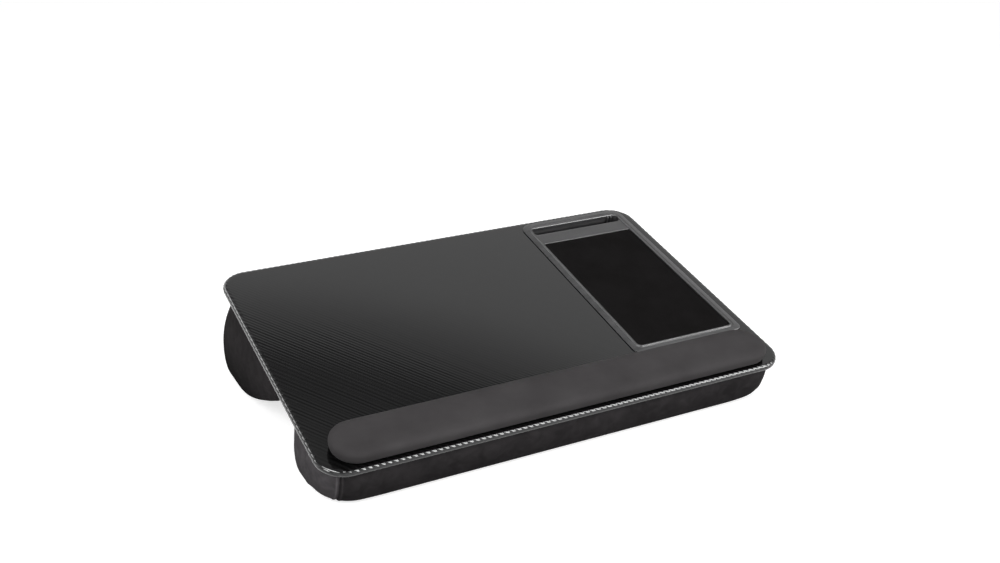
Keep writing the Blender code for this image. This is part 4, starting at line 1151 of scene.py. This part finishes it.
def end_panel(bolster, right):
    section = bolster.section(FINER)
    rows = np.concatenate([bolster.drawn(section, end_distances), bolster.cap(section, PANEL_SCALES)])
    rows = rows * [1 if right else -1, 1, 1]
    cover_count = len(bolster.cover(FINER))
    columns = np.arange(len(section), dtype=float)
    past_cover = columns - cover_count + (cover_count - 1) / FINER + 1
    columns = np.where(columns < cover_count, columns / FINER, past_cover)
    (outer, inner), uv = sewn(rows, (bag_place(end_distances, PANEL_SCALES, right), columns), bolster, False)
    loop = np.concatenate([inner[::-1], outer])
    name = bolster.name + "_bolster_end_panel_" + ("right" if right else "left")
    return new_piece(name, loop, closed_stack(loop), np.concatenate([uv[::-1], uv]))


# %% [markdown]
# Suede cloth is a short nap on a knit. Light catches the tips of the fibres at a flat angle, which is sheen, and
# the nap lies this way and that in patches, which is a soft change of tone. Beside each seam the cloth is painted
# paler along the ridges, a painted highlight read from the distance that the UV places carry, and the groove is
# shaded by its shape. Towards the foot the colour is darkened, which is painted shade.

# %% Suede
SEAM_HIGHLIGHT_SPREAD = 0.9 * MM
PAINTED_SHADE_HEIGHT = 55 * MM


def suede_finish(name, colour, shade):
    """Suede of this colour, with painted shade towards the foot and a painted highlight beside its seams."""
    colour = np.array(colour)
    finish = Finish(name, tuple(colour), 0.9, Sheen_Weight=0.004, Sheen_Roughness=0.4,
                    Specular_IOR_Level=0.01)
    patches = finish.noise(75, 4, distortion=0.6)
    broad = finish.noise(16, 2)
    nap = finish.noise(1500, 3)
    _, from_seam = finish.uv()
    past_ridge = finish.math("SUBTRACT", from_seam, RIDGE_AT / (10 * MM))
    offset = finish.math("DIVIDE", past_ridge, SEAM_HIGHLIGHT_SPREAD / (10 * MM))
    # Painted highlight: a paler band of colour along each seam ridge, standing in for the sheen that catches
    # there.
    painted_seam_highlight = finish.math("EXPONENT", finish.math("MULTIPLY", finish.math("MULTIPLY", offset, offset), -1.0))
    tone = finish.math("ADD", finish.ramp(patches, 0, 0.6, 0.35, 0.65), finish.ramp(broad, 0, 0.4, 0.3, 0.7))
    cloth = finish.tint(tone, tuple(0.7 * colour), tuple(1.3 * colour))
    cloth = finish.tint(finish.math("MULTIPLY", painted_seam_highlight, 0.4), cloth, tuple(2.4 * colour))
    above = finish.node("SeparateXYZ")
    finish.feed(above.inputs[0], finish.node("TexCoord").outputs["Object"])
    # Painted shade: the colour darkens towards the floor, down to a twentieth of it at the foot.
    painted_foot_shade = finish.ramp(above.outputs["Z"], shade, 0, 0, PAINTED_SHADE_HEIGHT)
    height = finish.math("ADD", finish.math("MULTIPLY", nap, 0.4), patches)
    return finish.set(
        Base_Color=finish.tint(painted_foot_shade, cloth, tuple(0.05 * colour)),
        Roughness=finish.ramp(patches, 0.85, 0.96, 0.3, 0.7),
        Normal=finish.bump(height, 0.12 * MM, 0.5),
    )


# The three suedes are one cloth. The front end panels get a lighter colour as painted light from the left, and the
# rear end panels a darker colour with stronger painted shade at the foot.
suedes = {
    "long": suede_finish("suede_along", (0.0330, 0.0305, 0.0318), 0.45),
    "front": suede_finish("suede_front_end", (0.084, 0.0785, 0.0825), 0.45),
    "rear": suede_finish("suede_rear_end", (0.0260, 0.0238, 0.0246), 1.0),
}
for bolster in (front_bolster, rear_bolster):
    wrap = wrap_panel(bolster)
    dress(wrap, suedes["long"], "bolster_suede", bolster.name + "_bolster_wrap")
    for right in (False, True):
        panel = end_panel(bolster, right)
        node = bolster.name + "_bolster_end_" + ("right" if right else "left")
        dress(panel, suedes[bolster.name], "bolster_suede", node)

# %% [markdown]
# Inside each cover is its stuffing. It never shows, but the desk would be hollow without it, so it is the drawn
# bag again on the coarse grid, shrunk towards the middle of its section and of its length, and kept below the
# base board.

# %% The stuffing
STUFFING_SHARE = np.array([0.965, 0.93, 0.88])


def stuffing(bolster):
    """The drawn bag, each of its points moved a share of the way to the middle, and cut level at the top."""
    rows = bag_rows(bolster)
    middle = np.array([0, *bolster.section(1).mean(0)])
    points = middle + (rows - middle) * STUFFING_SHARE
    points[..., 2] = np.minimum(points[..., 2], HANG_LEVEL - 2 * COVER)
    return new_piece(bolster.name + "_bolster_stuffing", to_world(points), closed_stack(points))


def fibre_finish():
    finish = Finish("bolster_stuffing", (0.75, 0.75, 0.72), 0.95)
    tufts = finish.noise(90, 5, distortion=2.0)
    strands = finish.noise(700, 3, distortion=1.5)
    height = finish.math("ADD", tufts, finish.math("MULTIPLY", strands, 0.3))
    return finish.set(Base_Color=finish.tint(tufts, (0.62, 0.62, 0.58), (0.82, 0.82, 0.80)),
                      Normal=finish.bump(height, 2 * MM, 0.8))


fibre = fibre_finish()
for bolster in (front_bolster, rear_bolster):
    fill = stuffing(bolster)
    dress(fill, fibre, "bolster_stuffing", bolster.name + "_bolster_fill")

# %% [markdown]
# The parts inside the board keep the shapes that they were cut to, and get a finish each: pressed wood fibre,
# foam tape, a thin bonded cloth, foam rubber, a plate, open foam and steel wire.

# %% The inner parts' finishes


def foam_finish(name, dark, light, pore_scale, depth):
    """Foam: round pores of one size, each a dark dimple."""
    finish = Finish(name, light, 0.9)
    pores = finish.cells(pore_scale)
    return finish.set(Base_Color=finish.tint(finish.ramp(pores, 0, 1, 0.1, 0.6), dark, light),
                      Roughness=finish.ramp(pores, 0.95, 0.8, 0, 0.6), Normal=finish.bump(pores, depth, 0.7))


def lining_finish():
    finish = Finish("lining_cloth", (0.035, 0.035, 0.036), 0.9, Sheen_Weight=0.1, Sheen_Roughness=0.5)
    dimples = finish.cells(420)
    fibres = finish.noise(1400, 4, distortion=1.5)
    height = finish.math("ADD", dimples, finish.math("MULTIPLY", fibres, 0.5))
    return finish.set(Base_Color=finish.tint(fibres, (0.024, 0.024, 0.025), (0.046, 0.046, 0.047)),
                      Roughness=finish.ramp(dimples, 0.82, 0.95, 0, 0.6),
                      Normal=finish.bump(height, 0.12 * MM, 0.6))


def plate_finish():
    finish = Finish("rest_plate", (0.05, 0.05, 0.05), 0.6)
    grain = finish.noise(900, 3)
    patches = finish.noise(40, 2)
    return finish.set(Base_Color=finish.tint(patches, (0.042, 0.042, 0.042), (0.058, 0.058, 0.058)),
                      Roughness=finish.ramp(grain, 0.52, 0.68, 0.3, 0.7),
                      Normal=finish.bump(grain, 0.02 * MM, 0.4))


def staple_finish():
    finish = Finish("staple_steel", (0.60, 0.60, 0.62), 0.35, metallic=1.0)
    drawn = finish.noise(900, 3, finish.places((0.1, 1, 1)))
    return finish.set(Base_Color=finish.tint(drawn, (0.52, 0.52, 0.54), (0.68, 0.68, 0.70)),
                      Roughness=finish.ramp(drawn, 0.28, 0.45, 0.3, 0.7),
                      Normal=finish.bump(drawn, 0.01 * MM, 0.4))


# %% Dress the inner parts
tape_foam = foam_finish("foam_tape", (0.07, 0.07, 0.07), (0.12, 0.12, 0.12), 1500, 0.1 * MM)
inner_finishes = {
    "base_board": fibreboard_finish("stained_fibreboard", (0.010, 0.009, 0.008), (0.030, 0.026, 0.023)),
    "wrist_rest_tape": tape_foam, "underside_lining": lining_finish(), "wrist_rest_base": plate_finish(),
    "mouse_pad_backing": foam_finish("pad_rubber", (0.006, 0.006, 0.006), (0.013, 0.013, 0.013),
                                     1200, 0.1 * MM),
    "wrist_rest_foam": foam_finish("rest_foam", (0.48, 0.46, 0.39), (0.68, 0.66, 0.58), 700, 0.3 * MM),
}
inner_finishes.update({name: tape_foam for name in nodes if name.startswith("board_tape")})
steel = staple_finish()
inner_finishes.update({name: steel for name in nodes if "_staple_" in name})
for name, finish in inner_finishes.items():
    for slot in nodes[name].material_slots:
        slot.material = finish
print("inner parts dressed:", len(inner_finishes))

# %% [markdown]
# The studio is a pale floor under soft boxes. Two boxes at the front light the cloth, and the walls add a dim even
# light. A black film shows little but what it mirrors, so three large boxes more are seen by gloss alone: a wide
# one at the front for the rolled edge, and two at the left for the bezel's ridges. The world is white to the
# camera. To gloss it is bright up to some height and dim above, as a real room is over a row of windows, and the
# step between the two lies across the board as a soft edge.

# %% The floor
FLOOR_REACH = 14.0
FLOOR_GLOW = 0.72
FLOOR_POINTS = 9
FLOOR_LEVEL = -0.3 * MM


def floor_finish():
    """Pale and matt, with a glow for camera and mirrors alone, so that it meets the background in white."""
    finish = Finish("studio_floor", (0.6, 0.6, 0.6), 0.9, Specular_IOR_Level=0.1, Emission_Color=(1, 1, 1, 1))
    rays = finish.node("LightPath")
    looked_at = finish.math("MAXIMUM", rays.outputs["Is Camera Ray"], rays.outputs["Is Glossy Ray"])
    looked_at = finish.math("MAXIMUM", looked_at, rays.outputs["Is Transmission Ray"])
    return finish.set(Emission_Strength=finish.math("MULTIPLY", looked_at, FLOOR_GLOW))


side_places = np.linspace(-FLOOR_REACH, FLOOR_REACH, FLOOR_POINTS)
floor_x, floor_y = np.meshgrid(side_places, side_places)
floor_points = np.stack([floor_x, floor_y, np.full_like(floor_x, FLOOR_LEVEL)], -1)
floor = new_piece("studio_floor", floor_points, grid_faces(FLOOR_POINTS, FLOOR_POINTS))
floor.data.materials.append(floor_finish())
print("floor is", 2 * FLOOR_REACH, "m wide")

# %% The world's light
ROOM_LIGHT = 0.4
WALL_TO_CEILING = [(0.50, 1.0), (0.62, 0.84), (0.735, 0.88), (0.749, 0.2), (0.764, 0.12), (0.781, 0.18),
                   (0.8, 0.35), (0.86, 0.4), (1.0, 0.3)]

world = bpy.data.worlds.new("studio")
bpy.context.scene.world = world
world.use_nodes = True
links, new_node = world.node_tree.links, world.node_tree.nodes.new
background = world.node_tree.nodes["Background"]
background.inputs["Color"].default_value = (1, 1, 1, 1)
rays = new_node("ShaderNodeLightPath")
direction = new_node("ShaderNodeSeparateXYZ")
links.new(new_node("ShaderNodeTexCoord").outputs["Generated"], direction.inputs[0])
height = new_node("ShaderNodeValToRGB")
stops = height.color_ramp.elements
for _ in range(len(WALL_TO_CEILING) - 2):
    stops.new(0.5)
for stop, (place, light) in zip(stops, WALL_TO_CEILING):
    stop.position = place
    stop.color = (light, light, light, 1)
links.new(direction.outputs["Z"], height.inputs[0])


def world_math(operation, first, second):
    node = new_node("ShaderNodeMath")
    node.operation = operation
    for socket, value in zip(node.inputs, (first, second)):
        if hasattr(value, "is_linked"):
            links.new(value, socket)
        else:
            socket.default_value = value
    return node.outputs[0]


camera_ray = rays.outputs["Is Camera Ray"]
mirror_ray = world_math("MAXIMUM", rays.outputs["Is Glossy Ray"], rays.outputs["Is Transmission Ray"])
seen = world_math("MAXIMUM", camera_ray, world_math("MULTIPLY", mirror_ray, height.outputs[0]))
neither = world_math("SUBTRACT", 1.0, world_math("MAXIMUM", camera_ray, mirror_ray))
room = world_math("MULTIPLY", neither, ROOM_LIGHT)
links.new(world_math("ADD", seen, room), background.inputs["Strength"])
print("world ready")

# %% The soft boxes
AIM = np.array([0, 0, 0.06])


def soft_box(name, azimuth, elevation, distance, size, power, for_gloss_only=False):
    """An area light on a sphere round the desk, facing it. Azimuth is in degrees from +X towards +Y."""
    lamp = bpy.data.lights.new(name, "AREA")
    lamp.shape = "RECTANGLE"
    lamp.size, lamp.size_y = size
    lamp.energy = power
    holder = bpy.data.objects.new(name, lamp)
    holder.visible_diffuse = not for_gloss_only
    a, e = math.radians(azimuth), math.radians(elevation)
    away = np.array([math.cos(a) * math.cos(e), math.sin(a) * math.cos(e), math.sin(e)])
    holder.location = AIM + away * distance
    holder.rotation_euler = (math.pi / 2 - e, 0, a + math.pi / 2)
    bpy.context.scene.collection.objects.link(holder)
    return holder


soft_box("key_box", 215, 40, 2.2, (0.8, 0.8), 24)
soft_box("front_box", -60, 28, 2.2, (0.5, 1.35), 24)
soft_box("front_gloss_box", -45, 35, 2.2, (1.7, 2.4), 125, for_gloss_only=True)
soft_box("left_gloss_box", 215, 42, 2.2, (1.7, 1.2), 60, for_gloss_only=True)
soft_box("rear_left_gloss_box", 130, 35, 2.2, (1.6, 0.8), 20, for_gloss_only=True)

# %% [markdown]
# The camera was solved from the board's corners in the photograph: its place, its turn and the lens that put them
# where the picture has them. There is no shift, and nothing is out of focus.

# %% The camera
SENSOR_WIDTH_MM = 36
LENS_MM = 42.662
CAMERA_PLACE = (-0.551281, -1.078981, 0.610590)
CAMERA_TURN = (68.1758, 0.0520, -27.3852)

camera_data = bpy.data.cameras.new("camera")
camera_data.sensor_width = SENSOR_WIDTH_MM
camera_data.lens = LENS_MM
camera = bpy.data.objects.new("camera", camera_data)
camera.location = CAMERA_PLACE
camera.rotation_euler = [math.radians(angle) for angle in CAMERA_TURN]
bpy.context.scene.collection.objects.link(camera)
bpy.context.scene.camera = camera
bpy.context.scene.view_settings.view_transform = "Standard"
print("camera at", tuple(round(v, 3) for v in camera.location))
